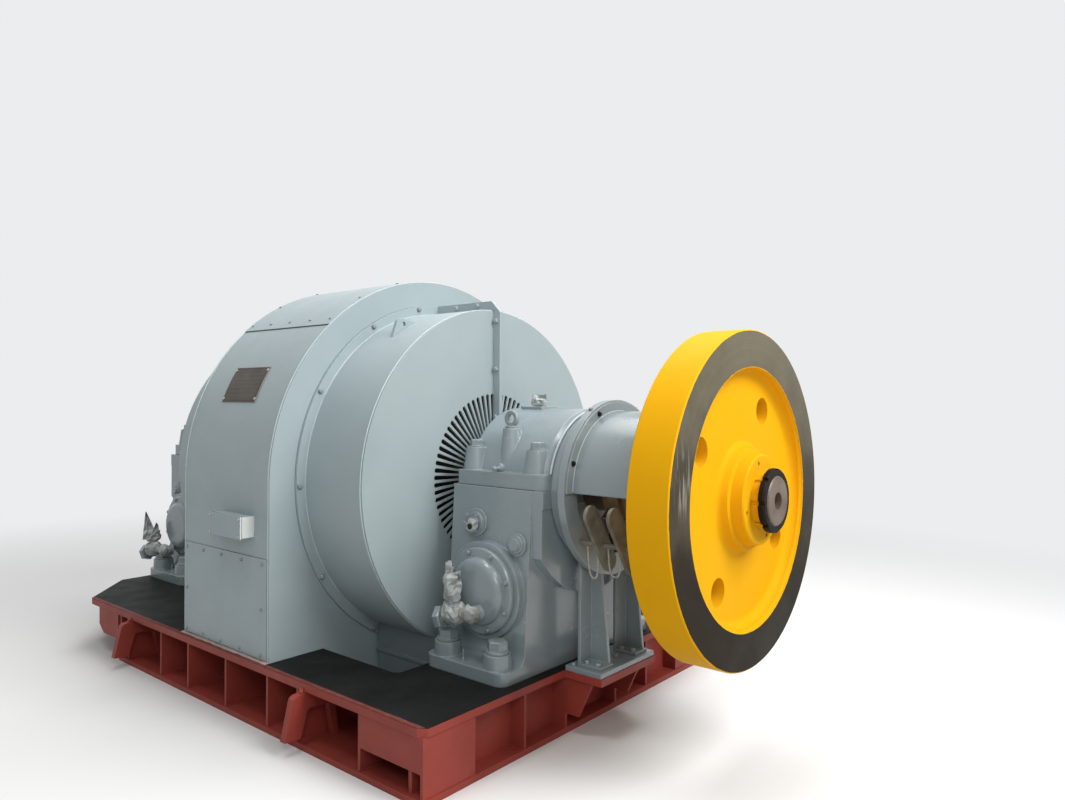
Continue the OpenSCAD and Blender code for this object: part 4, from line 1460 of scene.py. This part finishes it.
@dataclass
class AirDrums:
    """The round air covers: their welds, and the bolts of their rings and joint flanges."""

    rim_r: float = 0.9385
    rim_x: float = 0.8905
    steps: int = 180
    weld: Run = Run(radius=0.0034, ripple=0.0014, step=0.009, sides=6)
    ring_joint: Run = Run(radius=0.0008)
    ring_bolt_r: float = 0.975
    ring_angles: tuple[float, ...] = (1, 31, 60, 80, 100, 121, 151, 181, 211, 240, 300, 331)
    ring_bolt: Fastener = Fastener(Head.HEX, 0.013, 0.010, 0.015, 0.003)
    flange_bolts: tuple[tuple[float, float], ...] = (
        (0.608, 2.175), (0.779, 2.179), (0.924, 2.084), (0.924, 1.812), (0.924, 1.541))
    flange_bolt: Fastener = Fastener(Head.HEX, 0.013, 0.011, 0.016, 0.003)

    def build(self) -> None:
        """Makes the welds, joints and bolts of both covers."""
        rim = Path.arc(self.rim_x, self.rim_r, 0, 360, self.steps)
        foot = Path.arc(M.ring_front, M.drum_r, 0, 360, self.steps)
        joint = Path.arc(M.housing_hl, M.ring_r, 0, 360, self.steps)
        # the welds' pale colour is a painted highlight
        self.weld.put_on("drum_welds", [*rim.both(0), *foot.both(0)], Finish.LIT_BEAD)
        self.ring_joint.put_on("drum_ring_joints", joint.both(0), Finish.GASKET)
        ring = [Seat(M.on_axis(M.ring_front, self.ring_bolt_r, angle), AHEAD) for angle in self.ring_angles]
        self.ring_bolt.put_on("drum_ring_bolts", on_both(ring, 0), Finish.CASTING)
        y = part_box("drum_joint_flanges")[0].y
        near = [Seat(Vector((x, y, z)), NEAR) for x, z in self.flange_bolts]
        self.flange_bolt.put_on("joint_flange_bolts", on_both(on_both(near, 1), 0), Finish.HOUSING)


@dataclass
class Bearing:
    """Bolts and small fittings of a pedestal bearing, whose cap's long end faces away from the housing."""

    name: str
    x: float
    outward: int
    foot_bolts: tuple[float, float] = (0.165, 0.568)
    foot_bolt: Fastener = Fastener(Head.HEX, 0.051, 0.045, 0.056, 0.014)
    cap_bolts: tuple[float, float] = (0.204, 0.350)
    cap_boss_top: float = 0.191
    cap_mid: float = 0.023
    cap_bolt: Fastener = Fastener(Head.HEX, 0.037, 0.032, 0.041, 0.005)
    cover_z: float = 0.707
    cover_face: float = 0.526
    cover_bolt_r: float = 0.191
    cover_bolt: Fastener = Fastener(Head.HEX, 0.012, 0.010, 0.0145, 0.003)
    crown: float = 1.593
    pad_x: float = -0.052
    pad_half: tuple[float, float] = (0.072, 0.066)
    tie_r: float = 0.033
    stub_x: float = 0.042
    probe_at: Point = (0.010, 0.366, 1.297)
    rod_at: tuple[float, float] = (-0.030, 0.598)
    gauge_at: Point = (-0.084, 0.484, 1.025)
    gauge_bolt: Fastener = Fastener(Head.HEX, 0.0085, 0.007)
    gauge_bolts: tuple[float, float] = (0.050, 0.046)
    parting_x: tuple[float, float] = (-0.235, 0.270)
    fillet_x: float = 0.3245
    fillet_r: float = 0.3815

    def at(self, along: float, y: float, z: float) -> Vector:
        """Returns a point beside the bearing, whose own X runs towards its cap's long end."""
        return Vector((self.x + self.outward * along, y, z))

    def build(self) -> None:
        """Makes the bearing's small fittings and bolts."""
        self.breather()
        self.probes()
        self.rods()
        self.wrapped_gauges()
        self.joints()
        self.bolts()

    def bolts(self) -> None:
        """Makes the bolts of the feet, the cap and the round side covers."""
        feet = self._four(self.x, self.foot_bolts, M.foot_top + M.boss_h)
        self.foot_bolt.put_on(self.name + "_foot_bolts", feet, Finish.CASTING)
        cap = self._four(self.at(self.cap_mid, 0, 0).x, self.cap_bolts, M.shaft_z + self.cap_boss_top)
        self.cap_bolt.put_on(self.name + "_cap_bolts", cap, Finish.CASTING)
        cover = []
        for angle in map(math.radians, range(20, 380, 45)):
            x, z = self.cover_bolt_r * math.cos(angle), self.cover_bolt_r * math.sin(angle)
            cover.append(Seat(Vector((self.x + x, -self.cover_face, self.cover_z + z)), NEAR))
        self.cover_bolt.put_on(self.name + "_cover_bolts", on_both(cover, 1), Finish.CASTING)

    @staticmethod
    def _four(middle: float, spread: tuple[float, float], z: float) -> list[Seat]:
        """Returns the upright seats of four bolts at the same height about a middle."""
        return [Seat(Vector((middle + dx * spread[0], dy * spread[1], z)), UP)
                for dx, dy in product(SIDES, SIDES)]

    def breather(self) -> None:
        """Makes the flat pad on the cap's crown and the wrapped, tied breather on it."""
        pad = Form(self.name + "_cap_pad")
        x, y = self.pad_half
        centre = self.at(self.pad_x, 0, self.crown)
        pad.block(centre - Vector((x, y, 0.012)), centre + Vector((x, y, 0.010)), 0.004)
        pad.piece(Finish.CASTING)
        wrap = Form(self.name + "_breather_wrap")
        bulging = swelling(0.046, 0.036, 14, 0.15, 0.7)
        wrap.turned(centre + UP * 0.008, Vector((0.1, 0, 1)), bulging, 40, 0.012)
        wrap.leaf(centre + UP * 0.034, UP, Vector((0.78, 0.63, 0)), height=0.040, width=0.082, tip=0.9)
        wrap.piece(Finish.FILM)
        steps = 24
        tie = tuple(centre + Vector((self.tie_r * math.cos(turn), self.tie_r * math.sin(turn), 0.016))
                    for turn in (math.tau * i / steps for i in range(steps)))
        Run(radius=0.0035).put_on(self.name + "_breather_tie", [Path(tie, True)], Finish.TAPE)

    def probes(self) -> None:
        """Makes the stubs with their nozzles on the cap's sides below the lifting eyes."""
        form = Form(self.name + "_cap_probe")
        x, y, z = self.probe_at
        nozzle = ((0.020, 0.014), (0.030, 0.014), (0.030, 0.0085), (0.056, 0.0085), (0.056, 0.0115),
                  (0.068, 0.0115), (0.070, 0.009))
        for side in SIDES:
            start, out = self.at(x, side * y, z), Vector((0, side, 0))
            form.turned(start, out, ((0, 0.023), (0.020, 0.023), (0.023, 0.020)), 28)
            form.turned(start, out, nozzle, 20)
        form.piece(Finish.CASTING)

    def rods(self) -> None:
        """Makes the levelling rods between the foot bolts, each with its nut."""
        form = Form(self.name + "_levelling_rods")
        x, y = self.rod_at
        for side in SIDES:
            foot = self.at(x, side * y, M.foot_top)
            form.turned(foot, UP, ((0, 0.0042), (0.052, 0.0042), (0.054, 0.003)), 12)
            form.turned(foot, UP, ((0, 0.0085), (0.007, 0.0085), (0.008, 0.0075)), 6)
        form.piece(Finish.CASTING)

    def wrapped_gauges(self) -> None:
        """Makes the sight glasses' torn wrappings, dark windows and bolts."""
        wrap, window = Form(self.name + "_gauge_wrap"), Form(self.name + "_gauge_window")
        x, y, z = self.gauge_at
        across, up = self.gauge_bolts
        seats = []
        for side in SIDES:
            out = Vector((0, side, 0))
            centre = self.at(x, side * y, z)
            lower = centre + Vector((0.012, 0, -0.010))
            wrap.turned(lower, out, ((0, 0.024), (0.008, 0.033), (0.020, 0.034), (0.030, 0.026)), 14, 0.012)
            brim = lower + out * 0.016
            wide = Vector((0, side, 1))
            wrap.leaf(brim + Vector((-0.022, 0, 0)), Vector((-1, side * 0.4, 0.25)), wide, 0.036, 0.030)
            wrap.leaf(brim + Vector((0.020, 0, 0.004)), Vector((1, side * 0.5, 0.5)), wide, 0.028, 0.026)
            window.turned(lower + out * 0.026 - UP * 0.004, out, ((0, 0.015), (0.006, 0.015), (0.007, 0.012)))
            for angle in map(math.radians, (55, 125, 235, 305)):
                off = Vector((across * math.cos(angle), side * 0.004, up * math.sin(angle)))
                seats.append(Seat(centre + off, out))
        wrap.piece(Finish.FILM)
        window.piece(Finish.GASKET)
        self.gauge_bolt.put_on(self.name + "_gauge_bolts", seats, Finish.CASTING)

    def joints(self) -> None:
        """Makes the fine dark joint between cap and pedestal, and the fillet at the cap's nose, painted pale
        as a painted highlight.
        """
        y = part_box(self.name + "_bearing_cap")[1].y - 0.0002
        lines = [Path(tuple(self.at(x, side * y, M.shaft_z) for x in self.parting_x)) for side in SIDES]
        Run(radius=0.0016).put_on(self.name + "_parting_line", lines, Finish.GASKET)
        fillet = Path.arc(self.at(self.fillet_x, 0, 0).x, self.fillet_r, 12, 168, 80)
        # the fillet's pale colour is a painted highlight
        Run(radius=0.0065).put_on(self.name + "_cap_fillet", [fillet], Finish.LIT_BEAD)


@dataclass(frozen=True)
class Leaf:
    """One loose leaf of film over an elbow: its foot, its lean and its size."""

    lift: float
    back: float
    lean: float
    across: Point
    height: float
    width: float
    tip: float


@dataclass(frozen=True)
class Fitting:
    """A bearing's oil fitting: its height, the lengths of its two tubes, and its leaves."""

    z: float
    arm: float
    rise: float
    leaves: tuple[Leaf, ...]


FITTINGS = {
    "front": Fitting(0.615, 0.125, 0.165, (Leaf(0.080, 0.022, 0.10, (0.75, 0.66, 0), 0.105, 0.055, 0.5),
                                           Leaf(0.075, -0.024, -0.14, (0.85, 0.52, 0), 0.075, 0.050, 0.5))),
    "rear": Fitting(0.530, 0.180, 0.110, (Leaf(0.010, 0.045, 0.42, (0.42, 0.91, 0), 0.215, 0.110, 0.05),
                                          Leaf(0.030, -0.020, -0.30, (0.42, 0.91, 0), 0.110, 0.070, 0.2))),
}


@dataclass
class OilLines:
    """Capped oil fittings on the bearings' near sides, wrapped in film for storage."""

    elbow_y: float = -0.616
    face_y: float = -0.566
    nut_off: Point = (0.0, 0.0, -0.026)
    nut_reach: float = 0.054
    nut_r: float = 0.058
    nut_tilt: Point = (-1.0, -0.22, -0.22)
    wrap_r: float = 0.041

    def build(self, bearings: Iterable[Bearing]) -> None:
        """Makes the fittings of every bearing.

        Args:
            bearings: The bearings that carry them.
        """
        tubes, film = Form("oil_fitting_tubes"), Form("oil_fitting_wraps")
        tape, nuts = Form("oil_fitting_tapes"), Form("oil_fitting_nuts")
        for bearing in bearings:
            fitting = FITTINGS[bearing.name]
            stub = bearing.at(bearing.stub_x, self.face_y, fitting.z)
            elbow = Vector((stub.x - fitting.arm, self.elbow_y, fitting.z))
            self._tubes(fitting, stub, elbow, tubes)
            self._nut(elbow, nuts)
            self._wraps(fitting, stub, elbow, film)
            tape.turned(elbow - BACK * 0.066, -BACK, swelling(0.030, 0.030, 8, 0.05, 0.9), 24, 0.008)
            tape.turned(stub + NEAR * 0.012, NEAR, swelling(0.066, 0.035, 5, 0.08, 0.8), 12, 0.014)
        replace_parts(tubes.piece(Finish.CASTING), "oil_fittings")
        film.piece(Finish.FILM)
        tape.piece(Finish.TAPE)
        nuts.piece(Finish.CASTING)

    @staticmethod
    def _tubes(fitting: Fitting, stub: Vector, elbow: Vector, form: Form) -> None:
        """Adds a flanged stub, the tube from it to the elbow and the tube that rises there.

        Args:
            fitting: Its sizes.
            stub: Where the stub leaves the bearing.
            elbow: Where the tubes meet.
            form: Takes them.
        """
        arm = fitting.arm
        flanged = ((0, 0.040), (0.006, 0.040), (0.008, 0.030), (0.078, 0.028), (0.080, 0.024))
        form.turned(stub, NEAR, flanged, 28)
        form.turned(elbow - BACK * arm, BACK, ((0, 0.026), (arm, 0.026), (arm + 0.03, 0.024)))
        form.turned(elbow, UP, ((-0.020, 0.018), (0.0, 0.027), (fitting.rise, 0.018)))
        form.turned(stub + NEAR * 0.050 + BACK * 0.030, BACK, ((0, 0.031), (0.007, 0.031), (0.009, 0.028)))

    def _nut(self, elbow: Vector, form: Form) -> None:
        """Adds the hexagon nut that caps a tube, and the neck behind it.

        Args:
            elbow: Where the tubes meet.
            form: Takes them.
        """
        tilt, radius = Vector(self.nut_tilt).normalized(), self.nut_r
        seat = elbow + tilt * self.nut_reach + Vector(self.nut_off)
        form.turned(seat - tilt * 0.034, tilt, ((0, 0.024), (0.034, 0.026)), 20)
        nut = ((0, radius * 0.9), (0.004, radius), (0.032, radius), (0.037, radius * 0.88))
        form.turned(seat, tilt, nut, 6)

    def _wraps(self, fitting: Fitting, stub: Vector, elbow: Vector, form: Form) -> None:
        """Adds the film round a fitting's tubes and its loose leaves.

        Args:
            fitting: Its sizes.
            stub: Where the stub leaves the bearing.
            elbow: Where the tubes meet.
            form: Takes them.
        """
        foot = elbow + UP * 0.046
        rise = swelling(fitting.rise * 0.8, self.wrap_r, 8, 0.08, 0.7)
        form.turned(foot, UP + BACK * 0.08, rise, 12, 0.018, 0.85)
        for leaf in fitting.leaves:
            form.leaf(foot + UP * leaf.lift + BACK * leaf.back, UP + BACK * leaf.lean, Vector(leaf.across),
                      leaf.height, leaf.width, leaf.tip)
        level = swelling(0.118, self.wrap_r + 0.007, 7, 0.12, 0.7)
        form.turned(elbow + BACK * 0.052 - UP * 0.014, -BACK + UP * 0.10, level, 12, 0.018)
        end = swelling(0.040, 0.034, 4, 0.10, 0.7)
        form.turned(stub + NEAR * 0.046 + UP * 0.006, NEAR + UP * 0.1, end, 12, 0.016)


@dataclass
class BrushGear:
    """The brush gear: its bolts, the cover's weld, the brushes and their braided leads."""

    cover_angles: tuple[float, ...] = (20, 65, 115, 160)
    cover_bolt_r: float = 0.404
    cover_bolt: Fastener = Fastener(Head.HEX, 0.011, 0.009, 0.013, 0.002)
    cover_r: float = 0.381
    flange_t: float = 0.010
    weld: Run = Run(radius=0.0028, ripple=0.0012, step=0.008, sides=6)
    stand_z: float = 0.341
    foot_t: float = 0.014
    post_x: tuple[float, float] = (1.690, 1.752)
    post_y: tuple[float, float] = (-0.180, 0.126)
    post_bolt: Fastener = Fastener(Head.HEX, 0.014, 0.011, 0.0165, 0.003)
    plate_bolts: tuple[tuple[float, float], ...] = ((1.713, 0.030), (1.630, -0.215), (1.630, 0.215))
    plate_bolt: Fastener = Fastener(Head.HEX, 0.013, 0.010, 0.0155, 0.003)
    ring_bolt_x: float = 1.714
    ring_bolt_r: float = 0.435
    ring_angles: tuple[float, float] = (63, 117)
    ring_bolt: Fastener = Fastener(Head.HEX, 0.010, 0.008, 0.012, 0.002)
    ring_x: tuple[float, ...] = (1.830, 1.955)
    brush_angle: float = -32.05
    stud_y: float = 0.303
    stud_z: float = 0.956
    lead_r: float = 0.0042
    leads_at: tuple[tuple[float, int, float, float], ...] = (
        (1.775, -1, 0.058, 0.150), (1.890, -1, 0.066, 0.128),
        (1.775, 1, 0.058, 0.150), (1.890, 1, 0.066, 0.128))

    def build(self) -> None:
        """Makes the bolts, the weld, the brushes and the leads."""
        self.bolts()
        near = Path.arc(M.brush_ring_x + self.flange_t, self.cover_r, 1, 179, 80)
        # the weld's pale colour is a painted highlight
        self.weld.put_on("brush_cover_weld", [near], Finish.LIT_BEAD)
        self.brushes()
        self.leads()

    def bolts(self) -> None:
        """Makes the bolts of the cover's flange, the posts' feet, the stand plate and the end ring."""
        face = M.brush_ring_x + self.flange_t
        cover = [Seat(M.on_axis(face, self.cover_bolt_r, angle), AHEAD) for angle in self.cover_angles]
        self.cover_bolt.put_on("brush_cover_bolts", cover, Finish.NUT)
        foot = self.stand_z + self.foot_t
        posts = [Seat(Vector((x, y, foot)), UP) for x, y in product(self.post_x, self.post_y)]
        self.post_bolt.put_on("post_bolts", posts, Finish.CASTING)
        plate = [Seat(Vector((x, y, self.stand_z)), UP) for x, y in self.plate_bolts]
        self.plate_bolt.put_on("stand_plate_bolts", plate, Finish.CASTING)
        top = [Seat.radial(self.ring_bolt_x, self.ring_bolt_r, angle) for angle in self.ring_angles]
        self.ring_bolt.put_on("end_ring_bolts", top, Finish.CASTING)

    def brushes(self) -> None:
        """Makes the brushes' boxes, springs and terminals on both slip rings."""
        boxes, copper = Form("brush_boxes"), Form("brush_terminals")
        stud = ((0, 0.009), (0.004, 0.009), (0.004, 0.005), (0.013, 0.005), (0.014, 0.003))
        springs = []
        for x, side in product(self.ring_x, SIDES):
            turn = Matrix.Rotation(side * math.radians(self.brush_angle), 4, "X")
            place = Matrix.Translation((x, 0, M.shaft_z)) @ turn
            if side < 0:
                place = place @ Matrix.Rotation(math.pi, 4, "Z")
            for form, low, high, half_x, half_z, chamfer in (
                    (boxes, 0.200, 0.262, 0.0235, 0.0215, 0.003),
                    (boxes, 0.276, 0.318, 0.0225, 0.0230, 0.003),
                    (copper, 0.262, 0.276, 0.0200, 0.0190, 0.002)):
                form.block((-half_x, low, -half_z), (half_x, high, half_z), chamfer, place)
            out, up = (place.to_3x3() @ Vector(way) for way in ((0, 1, 0), (0, 0, 1)))
            copper.turned(place @ Vector((0, 0.297, 0.023)), up, stud, 16)
            springs.append(self._spring(place @ Vector((0, 0.240, 0.026)), out))
        boxes.piece(Finish.CARBON)
        copper.piece(Finish.COPPER)
        Run(radius=0.0016, sides=6).put_on("brush_springs", springs, Finish.COPPER)

    @staticmethod
    def _spring(centre: Vector, out: Vector) -> Path:
        """Returns the path of a flat spiral spring on a box.

        Args:
            centre: Its centre.
            out: The way the box points.

        Returns:
            The spiral.
        """
        steps, turns, eye, growth = 48, 2.5, 0.004, 0.011
        points = []
        for i in range(steps + 1):
            turn = math.tau * turns * i / steps
            radius = eye + growth * i / steps
            points.append(centre + out * radius * math.cos(turn) + AHEAD * radius * math.sin(turn))
        return Path(tuple(points))

    def leads(self) -> None:
        """Makes the braided leads that hang in loops from the holders' studs."""
        count = 24
        for number, (x, side, width, drop) in enumerate(self.leads_at, 1):
            start = Vector((x, side * self.stud_y, self.stud_z))
            points = []
            for share in (i / count for i in range(count + 1)):
                across = width * (share - 0.12 * math.sin(math.tau * share))
                inward = side * -0.010 * math.sin(math.pi * share)
                points.append(start + Vector((across, inward, -drop * (1 - abs(2 * share - 1) ** 2.4))))
            line = Path(tuple(points))
            piece = Run(self.lead_r, sides=10).put_on(f"brush_lead_{number}", [line], Finish.BRAID)


@dataclass
class Studio:
    """Camera at the photograph's viewing angle, plain floor, soft lamps and a pale world."""

    place: Point = (3.9210, -3.3046, 1.6419)
    yaw: float = 0.6920
    pitch: float = -0.0011
    roll: float = 0.0051
    lens: float = 26.54
    sensor: float = 36.0
    backdrop: Colour = (0.93, 0.94, 0.95)
    backdrop_strength: float = 0.9
    diffuse_strength: float = 0.33
    floor_half: float = 60.0
    floor_roughness: float = 0.8
    floor_seen: Colour = (0.76, 0.76, 0.75)
    floor_bounce: Colour = (0.46, 0.455, 0.45)
    fade_from: float = 3.2
    fade_to: float = 8.0

    def build(self) -> None:
        """Makes the camera, the floor, the lamps and the world."""
        self.camera()
        self.floor()
        self._area("side_lamp", (1.1, -3.3, 8.0), (0.0, 0, 0.8), 1.5, 105)
        self._area("front_lamp", (7.0, 0.5, 6.0), (0.8, 0, 1.0), 4.0, 540)
        self._area("wheel_lamp", (4.6, -3.8, 3.4), (2.3, -0.6, 1.1), 1.6, 60)
        self._area("top_lamp", (0.0, 2.2, 8.5), (0.0, 0, 1.0), 6.0, 460)
        self.world()

    def camera(self) -> None:
        """Makes the camera and sets it as the scene's."""
        data = bpy.data.cameras.new("camera")
        data.sensor_width = self.sensor
        data.lens = self.lens
        data.clip_end = 200.0
        ahead = Vector((-math.sin(self.yaw) * math.cos(self.pitch),
                        math.cos(self.yaw) * math.cos(self.pitch), math.sin(self.pitch)))
        level = Vector((math.cos(self.yaw), math.sin(self.yaw), 0))
        above = level.cross(ahead)
        right = level * math.cos(self.roll) + above * math.sin(self.roll)
        up = above * math.cos(self.roll) - level * math.sin(self.roll)
        turn = Matrix((right, up, -ahead)).transposed()
        camera = show("camera", data)
        camera.matrix_world = Matrix.Translation(self.place) @ turn.to_4x4()
        bpy.context.scene.camera = camera

    def floor(self) -> None:
        """Makes the plain pale floor, which fades into the backdrop where only the camera sees it."""
        size = self.floor_half
        mesh = bpy.data.meshes.new("floor")
        corners = [(-size, -size, 0), (size, -size, 0), (size, size, 0), (-size, size, 0)]
        mesh.from_pydata(corners, [], [(0, 1, 2, 3)])
        tree, shader = start_material("studio floor")
        x, y, _ = tree.split(tree.place())
        seen = self._seen(tree)
        tree.feed(shader, {"Roughness": self.floor_roughness,
                           "Base Color": tree.blend(seen, self.floor_bounce, self.floor_seen)})
        far = tree.ramp(tree.across(x, y), self.fade_from, self.fade_to) * seen
        glow = tree.get("ShaderNodeEmission", {"Color": self.backdrop, "Strength": self.backdrop_strength})
        both = tree.get("ShaderNodeMixShader", {0: far, 1: shader.outputs[0], 2: glow})
        tree.feed(next(n for n in tree.tree.nodes if n.type == "OUTPUT_MATERIAL"), {"Surface": both})
        mesh.materials.append(bpy.data.materials["studio floor"])
        show("floor", mesh)

    @staticmethod
    def _seen(tree: Tree) -> Value:
        """Returns 1 for what the camera sees, itself or in a gloss, and 0 for other light."""
        rays = tree.add("ShaderNodeLightPath")
        return tree.math("MAXIMUM", rays.outputs["Is Camera Ray"], rays.outputs["Is Glossy Ray"])

    @staticmethod
    def _area(name: str, place: Point, aim: Point, size: float, power: float) -> None:
        """Adds one square lamp.

        Args:
            name: Its name.
            place: Where it hangs.
            aim: The point that it faces.
            size: Its side length.
            power: Its power in watts.
        """
        data = bpy.data.lights.new(name, "AREA")
        data.shape = "SQUARE"
        data.size = size
        data.energy = power
        lamp = show(name, data)
        lamp.location = place
        lamp.rotation_euler = (Vector(aim) - Vector(place)).to_track_quat("-Z", "Y").to_euler()

    def world(self) -> None:
        """Makes a pale world that the camera and mirrors see brighter than it lights."""
        world = bpy.data.worlds.new("studio")
        bpy.context.scene.world = world
        world.use_nodes = True
        tree = Tree(world.node_tree)
        back = next(n for n in world.node_tree.nodes if n.type == "BACKGROUND")
        more = self.backdrop_strength - self.diffuse_strength
        tree.feed(back, {"Color": self.backdrop, "Strength": self._seen(tree) * more + self.diffuse_strength})


def main() -> None:
    """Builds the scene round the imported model."""
    logging.basicConfig(level=logging.INFO, format="%(name)s: %(message)s")
    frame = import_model()
    bpy.context.scene.view_settings.view_transform = "Standard"
    Studio().build()
    dress_nodes(frame["nodes"])
    Base().build()
    Housing().build()
    AirDrums().build()
    bearings = [Bearing("front", M.front_bearing_x, 1), Bearing("rear", M.rear_bearing_x, -1)]
    for bearing in bearings:
        bearing.build()
    OilLines().build(bearings)
    BrushGear().build()


if __name__ == "__main__":
    main()
